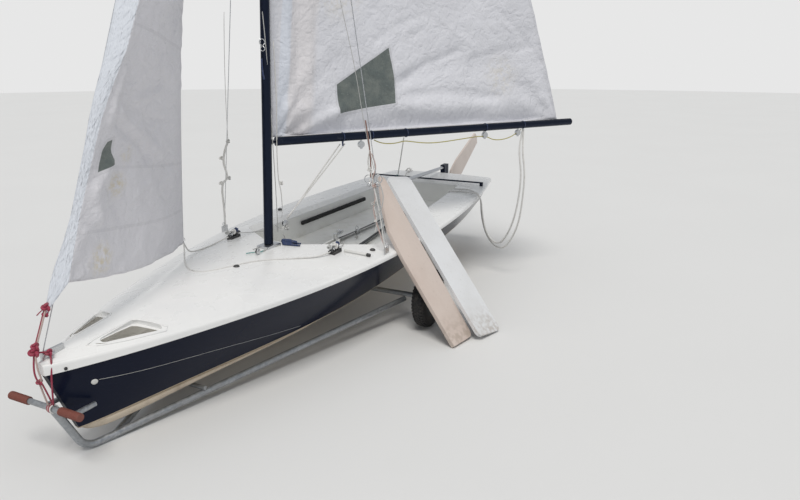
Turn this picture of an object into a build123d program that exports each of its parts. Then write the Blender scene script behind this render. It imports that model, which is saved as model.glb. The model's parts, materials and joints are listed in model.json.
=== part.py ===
"""Two-person sailing dinghy of the trapeze type, standing on its launching trolley.

The boat is drawn in its own frame first: x runs forward from the transom, y to port,
z up from the flat joint between the hull and the deck moulding. The whole boat is then
set down on the trolley, bow low. The trolley is drawn in the ground frame: x forward,
y to port, z up from the ground, with x = 0 below the boat's midship station.
All sizes are in millimetres.
"""
from build123d import *
import math
import os

# The boat on the ground
midship_station = 2200.0     # boat x that stands above ground x = 0
joint_height = 545.0         # hull-to-deck joint above the ground, at midship
bow_down = 2.38              # degrees, the boat lies bow low

# Hull and deck moulding
boat_length = 4390.0
stem_rake = 108.0            # the forefoot lies this far aft of the stem head
gunwale_lip = 8.0            # the deck moulding stands out past the hull
gunwale_roll = 17.0          # radius of the deck's rolled edge
stem_roll = 13.0
fit_gap = 0.4                # between pieces that seat on each other
cutter_reach = 500.0         # how far a cutting block runs past what it cuts

# Share of the length, half beam, chine half width, chine z, keel z
HULL_STATIONS = [
    (0.0, 520.0, 405.0, -205.0, -246.0),
    (0.1025, 605.0, 460.0, -224.0, -264.0),
    (0.2278, 678.0, 500.0, -242.0, -282.0),
    (0.4556, 708.0, 505.0, -262.0, -300.0),
    (0.6834, 574.0, 388.0, -290.0, -334.0),
    (0.8428, 352.0, 190.0, -308.0, -350.0),
    (0.9385, 170.0, 70.0, -318.0, -352.0),
]
stem_half_width = 15.0
stem_depth = 330.0

# Share of the length, edge height, crown height at the centreline
DECK_STATIONS = [
    (0.0, 30.0, 44.0),
    (0.1025, 30.0, 46.0),
    (0.2278, 30.0, 50.0),
    (0.4556, 30.0, 62.0),
    (0.6834, 32.0, 108.0),
    (0.8428, 38.0, 104.0),
    (0.9385, 44.0, 84.0),
]
stem_edge_height = 50.0
stem_crown_height = 60.0

# Cockpit tub: x and half width of its plan corners, from the front to the aft end
TUB_CORNERS = [
    (2600.0, 110.0),
    (2330.0, 500.0),
    (700.0, 370.0),
    (330.0, 325.0),
]
tub_floor_z = -170.0
tub_wall = 6.0
tub_corner_radius = 60.0
coaming_low = 10.0           # the deck flares away from the tub above this height
coaming_flare = 38.0         # degrees

# Moulded hollow in the foredeck on each side: its corners, aft of the stem head and from the centreline
RECESS_CORNERS = [(176.0, 70.0), (496.0, 238.0), (446.0, 70.0)]
recess_radius = 20.0
recess_floor_z = 69.0        # at the inner edge
recess_slope = 0.2           # the floor falls towards the gunwale

# Side pads on the tub's walls
pad_front = 1790.0
pad_aft = 880.0
pad_z = -58.0
pad_width = 22.0
pad_height = 36.0

# Daggerboard case
case_front = 2330.0
case_length = 360.0
case_width = 64.0
case_top_z = -80.0
slot_length = 290.0
slot_width = 32.0

# Toe straps
strap_front = 2140.0
strap_front_half = 150.0
strap_aft = 880.0
strap_aft_half = 26.0
strap_height = 30.0
strap_width = 45.0
strap_thickness = 4.0

# Mast and boom
mast_station = 2790.0        # boat x of the mast's centre at its foot
mast_rake = 6.0              # degrees aft, in the boat's frame
mast_length = 5700.0
mast_fore_aft = 62.0
mast_width = 54.0
mast_top_taper = 0.62
step_height = 22.0
gooseneck_up = 632.0         # along the mast, from its foot
hounds_up = 4330.0           # along the mast, from its foot
boom_out = 30.0              # degrees, boom swung out to port
boom_rise = 3.0              # degrees, above square to the mast, so that the boom lies level
boom_length = 2624.0
boom_diameter = 54.0
boom_start = 72.0            # boom's front end, aft of the mast's centre
luff_back = 46.0             # sail's luff and swing axis, aft of the mast's centre
boom_wall = 3.0
tongue_width = 18.0
tongue_thickness = 14.0
lug_thickness = 5.0
lug_clearance = 1.0
pin_radius = 4.0
running_gap = 0.06

# Mainsail: up along the mast from its foot, chord from the luff, camber
MAIN_SECTIONS = [
    (0.0, 2460.0, 40.0),
    (900.0, 2110.0, 110.0),
    (2500.0, 1420.0, 110.0),
    (4000.0, 720.0, 60.0),
    (4920.0, 110.0, 6.0),
]
sail_thickness = 3.0

# Jib: share of the luff, chord, camber
jib_tack_up = 300.0          # along the forestay, from the stem fitting
jib_luff = 3900.0
jib_clew = (3115.0, -400.0, 178.0)
forestay_diameter = 5.0
band_thickness = 8.0
chainplate_top_z = 74.0
shroud_diameter = 5.0
chainplate_station = 2445.0
chainplate_half = 655.0

spreader_up = 2250.0
spreader_diameter = 18.0

# Stem head plate and its eye
stem_plate_width = 12.0
bow_eye_back = 62.0          # aft of the stem head
bow_eye_up = 22.0            # above the deck's edge of the stem
bow_eye_radius = 6.0

# Rudder
rudder_pivot_back = 110.0    # blade bolt, aft of the transom
rudder_pivot_z = -225.0
rudder_axis_back = 34.0      # pintle axis, aft of the transom
pintle_radius = 5.0
stock_front = 52.0           # aft of the transom
stock_back = 150.0
stock_top_z = 108.0
stock_solid_z = -118.0       # the blade's slot lies below this
stock_bottom_z = -272.0
stock_width = 46.0
slot_in_stock = 30.0
blade_thickness = 19.0
blade_raised = 26.0          # degrees above horizontal, in the boat's frame
blade_bolt_radius = 6.0
blade_head_radius = 40.0
tiller_diameter = 28.0
tiller_length = 960.0
tiller_z = 80.0
tiller_lift = 3.0

# Blade outline with the blade raised: along it from the bolt, and across it, up is positive
BLADE_OUTLINE = [
    (0.0, -40.0),
    (60.0, -44.0),
    (340.0, -66.0),
    (1010.0, -34.0),
    (1030.0, 40.0),
    (1000.0, 98.0),
    (430.0, 158.0),
    (250.0, 150.0),
    (60.0, 44.0),
    (0.0, 40.0),
]

GUDGEON_HEIGHTS = (-24.0, -140.0)
gudgeon_width = 28.0
gudgeon_height = 16.0
gudgeon_nose = 11.0
pintle_rest = 0.5
extension_diameter = 20.0

# Deck fittings
traveller_x = 375.0
traveller_half = 575.0
traveller_z = 60.0
traveller_diameter = 14.0
jib_cleat_x = 2650.0
jib_cleat_half = 400.0
cleat_length = 90.0
jib_cleat_top = 112.0
BLOCK_DISTANCES = (640.0, 1726.0, 2066.0)
block_radius = 22.0

# Boards that lean on the port gunwale: foot x, y, direction up, width direction, size
dagger_length = 1230.0
dagger_width = 250.0
dagger_thickness = 26.0
spare_length = 1300.0
spare_width = 245.0
spare_thickness = 24.0
board_corner = 40.0
dagger_foot_x = 159.0
dagger_aft = 83.0            # the board's top leans this far aft of its foot
dagger_inside = 48.0         # and passes the gunwale this far outside it
dagger_over_tyre = 31.0      # and this far over the tyre
spare_foot_x = -36.0
spare_aft = 223.0
spare_inside = 51.0
spare_over_tyre = 65.0
board_rest_up = 40.0         # the boards meet the gunwale this far above the joint

# Trolley
tube_diameter = 36.0
axle_x = -50.0
axle_z = 200.0
axle_diameter = 34.0
wheel_diameter = 400.0
tyre_width = 100.0
rim_diameter = 200.0
wheel_track = 1640.0
bend_back = 21.5             # the trolley's bend lies this far aft of the stem's foot
bend_radius = 90.0
rail_end_half = 640.0        # rail centre from the centreline, at the axle
hub_width = 84.0
spindle_radius = 10.0
crossbar_back = 591.0        # of the bend
crossbar_diameter = 24.0
bunk_half = 250.0
bunk_width = 80.0
bunk_length = 220.0
fork_back = 15.0             # fork's arms end this far aft of the bend
fork_ahead = 97.0            # and its bar lies this far ahead of it
fork_half = 92.0
fork_z = 258.0
fork_diameter = 24.0
handle_ahead = 127.0         # of the bend
handle_z = 282.0
handle_y = -50.0
handle_length = 440.0
handle_diameter = 27.0
grip_length = 118.0
grip_diameter = 36.0

hull_half_beam = {row[0]: row[1] for row in HULL_STATIONS}
gunwale_half = max(hull_half_beam.values())
tilt = math.radians(bow_down)
stem_foot_x = (boat_length - stem_rake - midship_station) * math.cos(tilt) - stem_depth * math.sin(tilt)
bend_x = stem_foot_x - bend_back
fork_back_x = bend_x - fork_back
fork_front_x = bend_x + fork_ahead
handle_x = bend_x + handle_ahead
crossbar_x = bend_x - crossbar_back
tyre_side = (wheel_track + tyre_width) / 2


def on_trolley(shape):
    """Set a shape that is drawn in the boat's frame down on the trolley."""
    return Pos(0, 0, joint_height) * Rot(0, bow_down, 0) * Pos(-midship_station, 0, 0) * shape


def turned(vector, axis, degrees):
    return vector.rotate(Axis((0, 0, 0), axis), degrees)


def ring_face(points, arcs):
    """A planar face round points. arcs gives, for an edge's first point, the place that its arc goes through."""
    edges = []
    for i, start in enumerate(points):
        end = points[(i + 1) % len(points)]
        if i in arcs:
            edges.append(ThreePointArc(start, arcs[i], end))
        else:
            edges.append(Line(start, end))
    return Face(Wire(edges))


def hull_section(x, half, chine_half, chine_z, keel_z):
    points = [(x, half, 0), (x, chine_half, chine_z), (x, -chine_half, chine_z), (x, -half, 0)]
    return ring_face(points, {1: (x, 0, keel_z)})


def stem_section():
    """The narrow, raked front face of the hull, square to the centreline plane."""
    foot_x = boat_length - stem_rake
    low_half = stem_half_width * 0.8
    share = 1 - stem_half_width / stem_depth
    low_x = boat_length - stem_rake * share
    points = [
        (boat_length, stem_half_width, 0),
        (low_x, low_half, -stem_depth * share),
        (low_x, -low_half, -stem_depth * share),
        (boat_length, -stem_half_width, 0),
    ]
    return ring_face(points, {1: (foot_x, 0, -stem_depth)})


def hull_body():
    faces = [hull_section(share * boat_length, *row) for share, *row in HULL_STATIONS] + [stem_section()]
    return Solid.make_loft([f.outer_wire() for f in faces])


def deck_section(x, half, edge, crown, roll):
    """A slice of the deck moulding: upright edge, rolled gunwale and cambered top."""
    inner, low = half - roll, edge - roll
    middle = roll * (1 - math.sqrt(0.5))
    points = [(x, half, 0), (x, half, low), (x, inner, edge), (x, -inner, edge), (x, -half, low), (x, -half, 0)]
    arcs = {1: (x, half - middle, edge - middle), 2: (x, 0, crown), 3: (x, -half + middle, edge - middle)}
    return ring_face(points, arcs)


def deck_body():
    faces = []
    for share, edge, crown in DECK_STATIONS:
        half = hull_half_beam[share] + gunwale_lip
        faces.append(deck_section(share * boat_length, half, edge, crown, gunwale_roll))
    tip = boat_length + gunwale_lip
    faces.append(deck_section(tip, stem_half_width + gunwale_lip, stem_edge_height, stem_crown_height, stem_roll))
    return Solid.make_loft([f.outer_wire() for f in faces])


def tub_half(x):
    """Half width of the tub at a boat station, on the straight run between its corners."""
    for front, aft in zip(TUB_CORNERS, TUB_CORNERS[1:]):
        if aft[0] <= x <= front[0]:
            share = (x - aft[0]) / (front[0] - aft[0])
            return aft[1] + share * (front[1] - aft[1])


def tub_outline(grow):
    """The cockpit's plan shape, grown outwards by grow."""
    port = [(x, half) for x, half in TUB_CORNERS]
    starboard = [(x, -half) for x, half in reversed(TUB_CORNERS)]
    face = make_face(Polyline(*port, *starboard, close=True))
    face = fillet(face.vertices(), tub_corner_radius)
    if grow:
        face = offset(face, grow)
    return face


def tub_block(grow, low, high):
    return Pos(0, 0, low) * extrude(tub_outline(grow), high - low)


def case_slot(low, high):
    x = case_front - case_length / 2
    outline = SlotOverall(slot_length, slot_width)
    return Pos(x, 0, low) * extrude(outline, high - low)


def case_block(grow, low, high):
    x = case_front - case_length / 2
    outline = SlotOverall(case_length + 2 * grow, case_width + 2 * grow)
    return Pos(x, 0, low) * extrude(outline, high - low)


def hull():
    body = hull_body()
    body -= tub_block(tub_wall + fit_gap, tub_floor_z - tub_wall, 100)
    body -= case_slot(-cutter_reach, cutter_reach)
    return body


def coaming_cut():
    """The opening in the deck over the tub: upright at its foot, then flared out over the side decks."""
    flare = Pos(0, 0, coaming_low) * extrude(tub_outline(0), 120, taper=-coaming_flare)
    return tub_block(0, -50, 60) + flare


def foredeck_recess(side):
    """Rounded three-cornered hollow with a sloping floor, open upwards."""
    inner = RECESS_CORNERS[0][1]
    plane = Plane((0, side * inner, recess_floor_z), x_dir=(1, 0, 0), z_dir=(0, side * recess_slope, 1))
    outline = make_face(Polyline(*[(boat_length - back, side * (y - inner)) for back, y in RECESS_CORNERS], close=True))
    return extrude(plane * fillet(outline.vertices(), recess_radius), 80)


def deck():
    return deck_body() - coaming_cut() - foredeck_recess(1) - foredeck_recess(-1)


def cockpit_tub():
    shell = tub_block(tub_wall, tub_floor_z - tub_wall, 0)
    shell -= tub_block(0, tub_floor_z, 50)
    return shell - case_block(fit_gap, -cutter_reach, cutter_reach)


def daggerboard_case():
    return case_block(0, tub_floor_z - tub_wall, case_top_z) - case_slot(-cutter_reach, cutter_reach)


def side_pad(side):
    """Soft roll along the tub's wall, at the crew's calves."""
    inset = pad_width / 2 + fit_gap
    start = Vector(pad_front, side * (tub_half(pad_front) - inset), pad_z)
    end = Vector(pad_aft, side * (tub_half(pad_aft) - inset), pad_z)
    roll = bar(start, end, pad_height, pad_width)
    return fillet(roll.edges().filter_by(Axis(start, end - start)), 9)


def toe_straps():
    """Two webbing straps that run aft from saddles on the tub's floor to one saddle on its centreline."""
    straps = []
    for side in (1, -1):
        start = Vector(strap_front, side * strap_front_half, tub_floor_z + strap_height)
        end = Vector(strap_aft, side * strap_aft_half, tub_floor_z + strap_height)
        saddle = Pos(start.X - 30, start.Y, tub_floor_z) * Box(
            40, strap_width, strap_height, align=(Align.CENTER, Align.CENTER, Align.MIN))
        straps.append(bar(start, end, strap_thickness, strap_width) + saddle)
    straps.append(Pos(strap_aft, 0, tub_floor_z) * Box(
        40, 2 * strap_aft_half + strap_width, strap_height + strap_thickness,
        align=(Align.CENTER, Align.CENTER, Align.MIN)))
    return straps[0] + straps[1] + straps[2]


def bar(start, end, height, width):
    """A flat bar from start to end, its width kept level."""
    along = (Vector(*end) - Vector(*start))
    side = Vector(0, 0, 1).cross(along).normalized()
    plane = Plane(Vector(*start), x_dir=side, z_dir=along.normalized())
    return extrude(plane * Rectangle(width, height), along.length)


def rod(start, end, diameter):
    along = Vector(*end) - Vector(*start)
    plane = Plane(Vector(*start), z_dir=along.normalized())
    return extrude(plane * Circle(diameter / 2), along.length)


def deck_height(x):
    """Crown height of the deck at a boat station, straight between the stations."""
    rows = [(share * boat_length, edge, crown) for share, edge, crown in DECK_STATIONS]
    for low, high in zip(rows, rows[1:]):
        if low[0] <= x <= high[0]:
            share = (x - low[0]) / (high[0] - low[0])
            return low[2] + share * (high[2] - low[2])
    return rows[-1][2]


mast_foot = Vector(mast_station, 0, deck_height(mast_station) + step_height)
mast_up = Vector(-math.sin(math.radians(mast_rake)), 0, math.cos(math.radians(mast_rake)))
mast_aft = Vector(-math.cos(math.radians(mast_rake)), 0, -math.sin(math.radians(mast_rake)))
boom_plane_x = turned(mast_aft, mast_up, -boom_out)
boom_across = mast_up.cross(boom_plane_x)
boom_dir = turned(boom_plane_x, boom_across, -boom_rise)
gooseneck_point = mast_foot + mast_up * gooseneck_up + mast_aft * luff_back
mast_half = mast_fore_aft / 2


def mast():
    low = Plane(mast_foot, x_dir=mast_aft, z_dir=mast_up)
    taper_start = mast_length * 0.8
    body = extrude(low * Ellipse(mast_fore_aft / 2, mast_width / 2), taper_start)
    upper = loft([
        low.offset(taper_start) * Ellipse(mast_fore_aft / 2, mast_width / 2),
        low.offset(mast_length) * Ellipse(mast_fore_aft * mast_top_taper / 2, mast_width * mast_top_taper / 2),
    ])
    return body + upper


def mast_step():
    base = Pos(mast_station, 0, 0) * Box(130, 90, deck_height(mast_station) + step_height - 2,
                                         align=(Align.CENTER, Align.CENTER, Align.MIN))
    base -= deck_body()
    cut = Plane(mast_foot, z_dir=mast_up) * Box(cutter_reach, cutter_reach, cutter_reach, align=(Align.CENTER, Align.CENTER, Align.MIN))
    solids = (base - cut).solids()
    return max(solids, key=lambda s: s.center().Z)


def along_boom(distance, up=0.0, side=0.0):
    """A point in the boat's frame, given from the gooseneck along the boom's own directions."""
    return gooseneck_point + boom_dir * distance + mast_up * up + boom_across * side


def boom():
    front = boom_start - luff_back
    back = front + boom_length
    tube = rod(along_boom(front), along_boom(back), boom_diameter)
    tube -= rod(along_boom(front), along_boom(back), boom_diameter - 2 * boom_wall)
    inner = boom_diameter - 2 * boom_wall
    tube += rod(along_boom(front), along_boom(front + 60), inner)
    tube += rod(along_boom(back - 40), along_boom(back), inner)
    low = Plane(along_boom(0, -tongue_thickness / 2), x_dir=boom_plane_x, z_dir=mast_up)
    tongue = extrude(low * (Pos((front + 4) / 2, 0) * Rectangle(front + 4, tongue_width)), tongue_thickness)
    tongue += extrude(low * Circle(tongue_width / 2), tongue_thickness)
    tongue -= extrude(low.offset(-10) * Circle(pin_radius + running_gap), tongue_thickness + 20)
    return tube + tongue


def gooseneck():
    """Mast plate with two lugs and the upright pin that the boom's tongue turns on."""
    face = Plane(mast_foot + mast_up * gooseneck_up + mast_aft * (mast_half + fit_gap),
                 x_dir=Vector(0, 1, 0), z_dir=mast_aft)
    reach = luff_back - mast_half - fit_gap
    fitting = extrude(face * Rectangle(tongue_width, 70), 3)
    for up in (1, -1):
        centre = up * (tongue_thickness / 2 + lug_clearance + lug_thickness / 2)
        fitting += extrude(face * (Pos(0, centre) * Rectangle(tongue_width, lug_thickness)), reach + tongue_width / 2)
    length = tongue_thickness + 2 * (lug_clearance + lug_thickness) + 8
    pin = Plane(gooseneck_point - mast_up * (length / 2), z_dir=mast_up)
    return fitting + extrude(pin * Circle(pin_radius), length)


def sail_face(luff_point, chord_dir, belly_dir, chord, camber):
    """One thin curved slice of a sail, from luff to leech."""
    half = sail_thickness / 2
    leech = luff_point + chord_dir * chord
    middle = luff_point + chord_dir * (chord * 0.45)
    side = belly_dir * half
    edges = [
        ThreePointArc(luff_point + side, middle + belly_dir * (camber + half), leech + side),
        Line(leech + side, leech - side),
        ThreePointArc(leech - side, middle + belly_dir * (camber - half), luff_point - side),
        Line(luff_point - side, luff_point + side),
    ]
    return Face(Wire(edges))


def mainsail():
    foot_up = boom_diameter / 2 / math.cos(math.radians(boom_rise)) + fit_gap
    sections = []
    for up, chord, camber in MAIN_SECTIONS:
        luff = gooseneck_point + mast_up * (foot_up + up) + boom_dir * 2
        sections.append(sail_face(luff, boom_dir, boom_across, chord, camber))
    return Solid.make_loft([f.outer_wire() for f in sections], ruled=True)


stem_eye = Vector(boat_length - 20, 0, stem_crown_height + 40)


def jib():
    stay = (forestay_top() - stem_eye).normalized()
    tack = stem_eye + stay * jib_tack_up
    head = tack + stay * jib_luff
    clew = Vector(*jib_clew)
    stand_off = stay.cross(Vector(0, 1, 0)) * (forestay_diameter / 2 + fit_gap)
    sections = []
    for share, camber in ((0.0, 30.0), (0.35, 60.0), (0.97, 4.0)):
        luff = tack + (head - tack) * share + stand_off
        leech = clew + (head - clew) * share
        chord = leech - luff
        along = chord.normalized()
        belly = along.cross(stay).normalized()
        sections.append(sail_face(luff, along, belly, chord.length, camber))
    return Solid.make_loft([f.outer_wire() for f in sections], ruled=True)


def forestay():
    start = stem_eye
    return rod(start, forestay_top(), forestay_diameter)


def chainplate_top(side):
    return Vector(chainplate_station, side * chainplate_half, chainplate_top_z)


def chainplates():
    plates = []
    for side in (1, -1):
        top = chainplate_top(side)
        plates.append(Pos(top.X, top.Y, 0) * Box(60, 6, top.Z, align=(Align.CENTER, Align.CENTER, Align.MIN)))
    return top_solids(Compound(plates) - deck_body(), 2)


def top_solids(shape, count):
    """The highest solids of a shape that was cut by what it stands on."""
    solids = sorted(shape.solids(), key=lambda s: -s.center().Z)
    return Compound(solids[:count])


def hounds_side(side):
    stand_off = mast_width / 2 + band_thickness + shroud_diameter
    return mast_foot + mast_up * hounds_up + Vector(0, side * stand_off, 0)


def shroud(side):
    low = chainplate_top(side)
    along = (hounds_side(side) - low).normalized()
    return rod(low + along * (shroud_diameter * 0.2), hounds_side(side), shroud_diameter)


def hounds_fitting():
    low = Plane(mast_foot + mast_up * (hounds_up - 30), x_dir=mast_aft, z_dir=mast_up)
    outer = Ellipse(mast_half + band_thickness, mast_width / 2 + band_thickness)
    band = extrude(low * outer, 60)
    inner = extrude(low.offset(-5) * Ellipse(mast_half + fit_gap, mast_width / 2 + fit_gap), 80)
    for side in (1, -1):
        lug = hounds_side(side) + mast_up * 10
        band += Plane(lug, x_dir=mast_aft, z_dir=mast_up) * Box(
            24, 2 * shroud_diameter + 2, 14, align=(Align.CENTER, Align.CENTER, Align.MIN))
    nose = forestay_top() + mast_up * (forestay_diameter / 4 + fit_gap)
    band += Plane(nose, x_dir=mast_aft, z_dir=mast_up) * Box(
        4 * forestay_diameter, 14, 14, align=(Align.CENTER, Align.CENTER, Align.MIN))
    return band - inner


def forestay_top():
    return mast_foot + mast_up * hounds_up - mast_aft * (mast_half + band_thickness + forestay_diameter)


def spreaders():
    """Two short arms that hold the shrouds off the mast, at half their height."""
    arms = []
    for side in (1, -1):
        root = mast_foot + mast_up * spreader_up + Vector(0, side * (mast_width / 2 + fit_gap), 0)
        low, high = chainplate_top(side), hounds_side(side)
        on_shroud = low + (high - low) * ((root.Z - low.Z) / (high.Z - low.Z))
        along = (on_shroud - root).normalized()
        arm = rod(root + along * 2, on_shroud - along * (shroud_diameter / 2 + fit_gap), spreader_diameter)
        cut = rod(low, high, shroud_diameter + 2 * fit_gap)
        base = Plane(root, x_dir=mast_up, z_dir=(0, side, 0)) * Box(
            60, 22, 5, align=(Align.CENTER, Align.CENTER, Align.MIN))
        arms.append(arm - cut + base)
    return Compound(arms) - mast()


def stem_fitting():
    """Stem head plate that the forestay ends on, with an eye for the painter."""
    height = stem_eye.Z - forestay_diameter * 0.25
    base = Pos(boat_length - 60, 0, 0) * Box(110, stem_plate_width, height,
                                             align=(Align.CENTER, Align.CENTER, Align.MIN))
    plate = top_solids(base - deck_body(), 1)
    eye = Plane((boat_length - bow_eye_back, 0, stem_crown_height + bow_eye_up), z_dir=(0, 1, 0))
    return plate - extrude(eye * Circle(bow_eye_radius), stem_plate_width, both=True)


def pintle_bore(low, high, radius):
    return Pos(-rudder_axis_back, 0, low) * extrude(Circle(radius), high - low)


def rudder_gudgeons():
    """Two brackets on the transom, each with an upright bore for the rudder's pintles."""
    parts = []
    for z in GUDGEON_HEIGHTS:
        arm = Pos(0, 0, z) * Box(rudder_axis_back + gudgeon_nose, gudgeon_width, gudgeon_height,
                                 align=(Align.MAX, Align.CENTER, Align.MAX))
        plate = Pos(0, 0, z + 8) * Box(4, gudgeon_width + 26, gudgeon_height + 16,
                                       align=(Align.MAX, Align.CENTER, Align.MAX))
        parts.append(arm + plate - pintle_bore(z - 60, z + 60, pintle_radius + running_gap))
    return Compound(parts)


def rudder_stock():
    depth = stock_back - stock_front
    body = Pos(-stock_front, 0, stock_top_z) * Box(depth, stock_width, stock_top_z - stock_bottom_z,
                                                   align=(Align.MAX, Align.CENTER, Align.MAX))
    web = 10.0
    slot = Pos(-stock_front - web, 0, stock_solid_z) * Box(
        cutter_reach, slot_in_stock, cutter_reach, align=(Align.MAX, Align.CENTER, Align.MAX))
    body -= slot
    for z in GUDGEON_HEIGHTS:
        strap = Pos(-stock_front - 2, 0, z + pintle_rest) * Box(
            stock_front - rudder_axis_back + 2 + pintle_radius + 3, 16, 12,
            align=(Align.MIN, Align.CENTER, Align.MIN))
        body += strap
        body += pintle_bore(z - gudgeon_height - 12, z + pintle_rest + 6, pintle_radius)
    bolt = Plane((-rudder_pivot_back, -stock_width / 2 - 6, rudder_pivot_z), z_dir=(0, 1, 0))
    body += extrude(bolt * Circle(blade_bolt_radius), stock_width + 12)
    return body - tiller_tube(2 * fit_gap)


def blade_direction():
    a = math.radians(blade_raised)
    return Vector(-math.cos(a), 0, math.sin(a)), Vector(math.sin(a), 0, math.cos(a))


def rudder_blade():
    along, across = blade_direction()
    pivot = Vector(-rudder_pivot_back, 0, rudder_pivot_z)
    plane = Plane(pivot, x_dir=along, z_dir=along.cross(across))
    outline = make_face(Polyline(*BLADE_OUTLINE, close=True))
    outline += Circle(blade_head_radius)
    blank = extrude(plane * outline, blade_thickness / 2, both=True)
    bore = extrude(plane * Circle(blade_bolt_radius + running_gap), blade_thickness, both=True)
    return blank - bore


def tiller_tube(grow=0.0):
    lift = math.tan(math.radians(tiller_lift))
    start = Vector(-stock_back + 6, 0, tiller_z)
    end = start + Vector(tiller_length, 0, tiller_length * lift)
    return rod(start, end, tiller_diameter + grow)


def tiller():
    return tiller_tube()


def tiller_extension():
    """Stowed along the tiller, hinged at its front end."""
    lift = math.tan(math.radians(tiller_lift))
    side = (tiller_diameter + extension_diameter) / 2 + fit_gap
    front = tiller_length - stock_back - 10
    start = Vector(front, side, tiller_z + lift * (front + stock_back))
    back = 120.0
    end = Vector(back, side, tiller_z + lift * (back + stock_back))
    return rod(start, end, extension_diameter)


def traveller():
    """Tube across the aft end of the cockpit that the mainsheet's bridle runs on."""
    bar_z = traveller_z
    tube = rod((traveller_x, -traveller_half, bar_z), (traveller_x, traveller_half, bar_z), traveller_diameter)
    for side in (1, -1):
        tube += Pos(traveller_x, side * (traveller_half - 16), 0) * Box(
            30, 24, bar_z, align=(Align.CENTER, Align.CENTER, Align.MIN))
    return top_solids(tube - deck_body(), 1)


def jib_cleats():
    """Cam cleat and lead eye on each side of the foredeck's aft edge."""
    parts = []
    for side in (1, -1):
        x, y = jib_cleat_x, side * jib_cleat_half
        base = Pos(x, y, 0) * Box(cleat_length, 44, jib_cleat_top - 22, align=(Align.CENTER, Align.CENTER, Align.MIN))
        jaws = []
        for jaw in (1, -1):
            jaws.append(Pos(x - 16, y + jaw * 11, jib_cleat_top - 22) * Cylinder(
                9, 20, align=(Align.CENTER, Align.CENTER, Align.MIN)))
        eye = Pos(x + cleat_length / 2 - 12, y, jib_cleat_top - 22) * Rot(0, 90, 0) * (
            Cylinder(18, 7) - Cylinder(11, 7))
        parts.append(base + jaws + eye)
    return top_solids(Compound(parts) - deck_body(), 2)


def swivel_cleat():
    """Mainsheet swivel with its cam cleat arm, on the daggerboard case's aft end."""
    x = case_front - case_length + 34
    post = Pos(x, 0, case_top_z) * Cylinder(16, 46, align=(Align.CENTER, Align.CENTER, Align.MIN))
    arm = Pos(x - 40, 0, case_top_z + 30) * Box(90, 26, 8, align=(Align.CENTER, Align.CENTER, Align.MIN))
    jaws = Pos(x - 66, 0, case_top_z + 38) * Box(34, 40, 18, align=(Align.CENTER, Align.CENTER, Align.MIN))
    return post + arm + jaws


def boom_blocks():
    """Sheet blocks hung under the boom."""
    blocks = []
    for distance in BLOCK_DISTANCES:
        centre = along_boom(distance, -(boom_diameter / 2 + fit_gap + block_radius + 8))
        plane = Plane(centre, x_dir=boom_dir, z_dir=boom_across)
        cheek = extrude(plane * Circle(block_radius), 11, both=True)
        strap = extrude(plane * (Pos(0, 0) * Rectangle(14, 2 * block_radius + 16)), 4, both=True)
        blocks.append(cheek + strap)
    return Compound(blocks)


def leaning_board(foot, up, across, length, width, thickness):
    """A board with its foot on the ground that leans on the port gunwale."""
    up = Vector(*up).normalized()
    across = Vector(*across)
    across = (across - up * across.dot(up)).normalized()
    outward = up.cross(across) if up.cross(across).Y > 0 else across.cross(up)
    plane = Plane(Vector(*foot) + outward * (thickness * 2), x_dir=across, z_dir=outward)
    board = plane * (Pos(0, length / 2, 0) * board_blank(length, width, thickness))
    if plane.y_dir.dot(up) < 0:
        board = plane * (Pos(0, -length / 2, 0) * Rot(0, 0, 180) * board_blank(length, width, thickness))
    gap = board.distance_to(on_trolley(deck_body()))
    board = Pos(*(outward * (fit_gap - gap))) * board
    low = board.bounding_box().min.Z
    return Pos(*(up * (-low / up.Z))) * board


def board_blank(length, width, thickness):
    outline = RectangleRounded(width, length, board_corner)
    return extrude(outline, thickness / 2, both=True)


def board_place(foot_x, aft, inside_rest, over_tyre):
    """Foot of a leaning board, and its direction to the gunwale, where it passes that far over the tyre."""
    rest_y, rest_z = gunwale_half + inside_rest, joint_height + board_rest_up
    passing = wheel_diameter + over_tyre
    foot_y = tyre_side + passing * (tyre_side - rest_y) / (rest_z - passing)
    return (foot_x, foot_y, 0), (-aft, rest_y - foot_y, rest_z)


def daggerboard():
    foot, lean = board_place(dagger_foot_x, dagger_aft, dagger_inside, dagger_over_tyre)
    return leaning_board(foot, lean, (-0.977, 0.212, 0.019), dagger_length, dagger_width, dagger_thickness)


def spare_board():
    foot, lean = board_place(spare_foot_x, spare_aft, spare_inside, spare_over_tyre)
    return leaning_board(foot, lean, (-0.956, 0.269, -0.116), spare_length, spare_width, spare_thickness)


def tube_run(points, radii, diameter, wall=3.0):
    path = FilletPolyline(*points, radius=radii)
    plane = Plane(path @ 0, z_dir=path % 0)
    return sweep(plane * Circle(diameter / 2), path)


def rail_tube(bend_z):
    top = Vector(handle_x, 0, handle_z)
    bend = Vector(bend_x, 0, bend_z)
    end = Vector(axle_x, rail_end_half, axle_z - tube_diameter)
    return tube_run([top, bend, end], bend_radius, tube_diameter)


def resting_bend():
    """Height of the bend's corner at which the round of the bend just touches the ground."""
    height = tube_diameter / 2
    for _ in range(3):
        height -= rail_tube(height).bounding_box().min.Z
    return height


bend_z = resting_bend()


def rail_path_port():
    return rail_tube(bend_z)


def rail_port():
    return rail_path_port() - tow_handle()


def rail_starboard():
    start = rail_point(bend_x - bend_radius * 1.5, 1)
    end = rail_point(axle_x, -1)
    return rod(start, end, tube_diameter) - rail_port()


def tow_handle():
    low = Vector(handle_x, handle_y - handle_length / 2, handle_z)
    high = Vector(handle_x, handle_y + handle_length / 2, handle_z)
    return rod(low, high, handle_diameter)


def handle_grips():
    grips = []
    for side in (-1, 1):
        inner = handle_y + side * (handle_length / 2 - grip_length)
        outer = handle_y + side * (handle_length / 2 + 8)
        grips.append(rod((handle_x, inner, handle_z), (handle_x, outer, handle_z), grip_diameter))
    return Compound(grips) - tow_handle()


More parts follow.
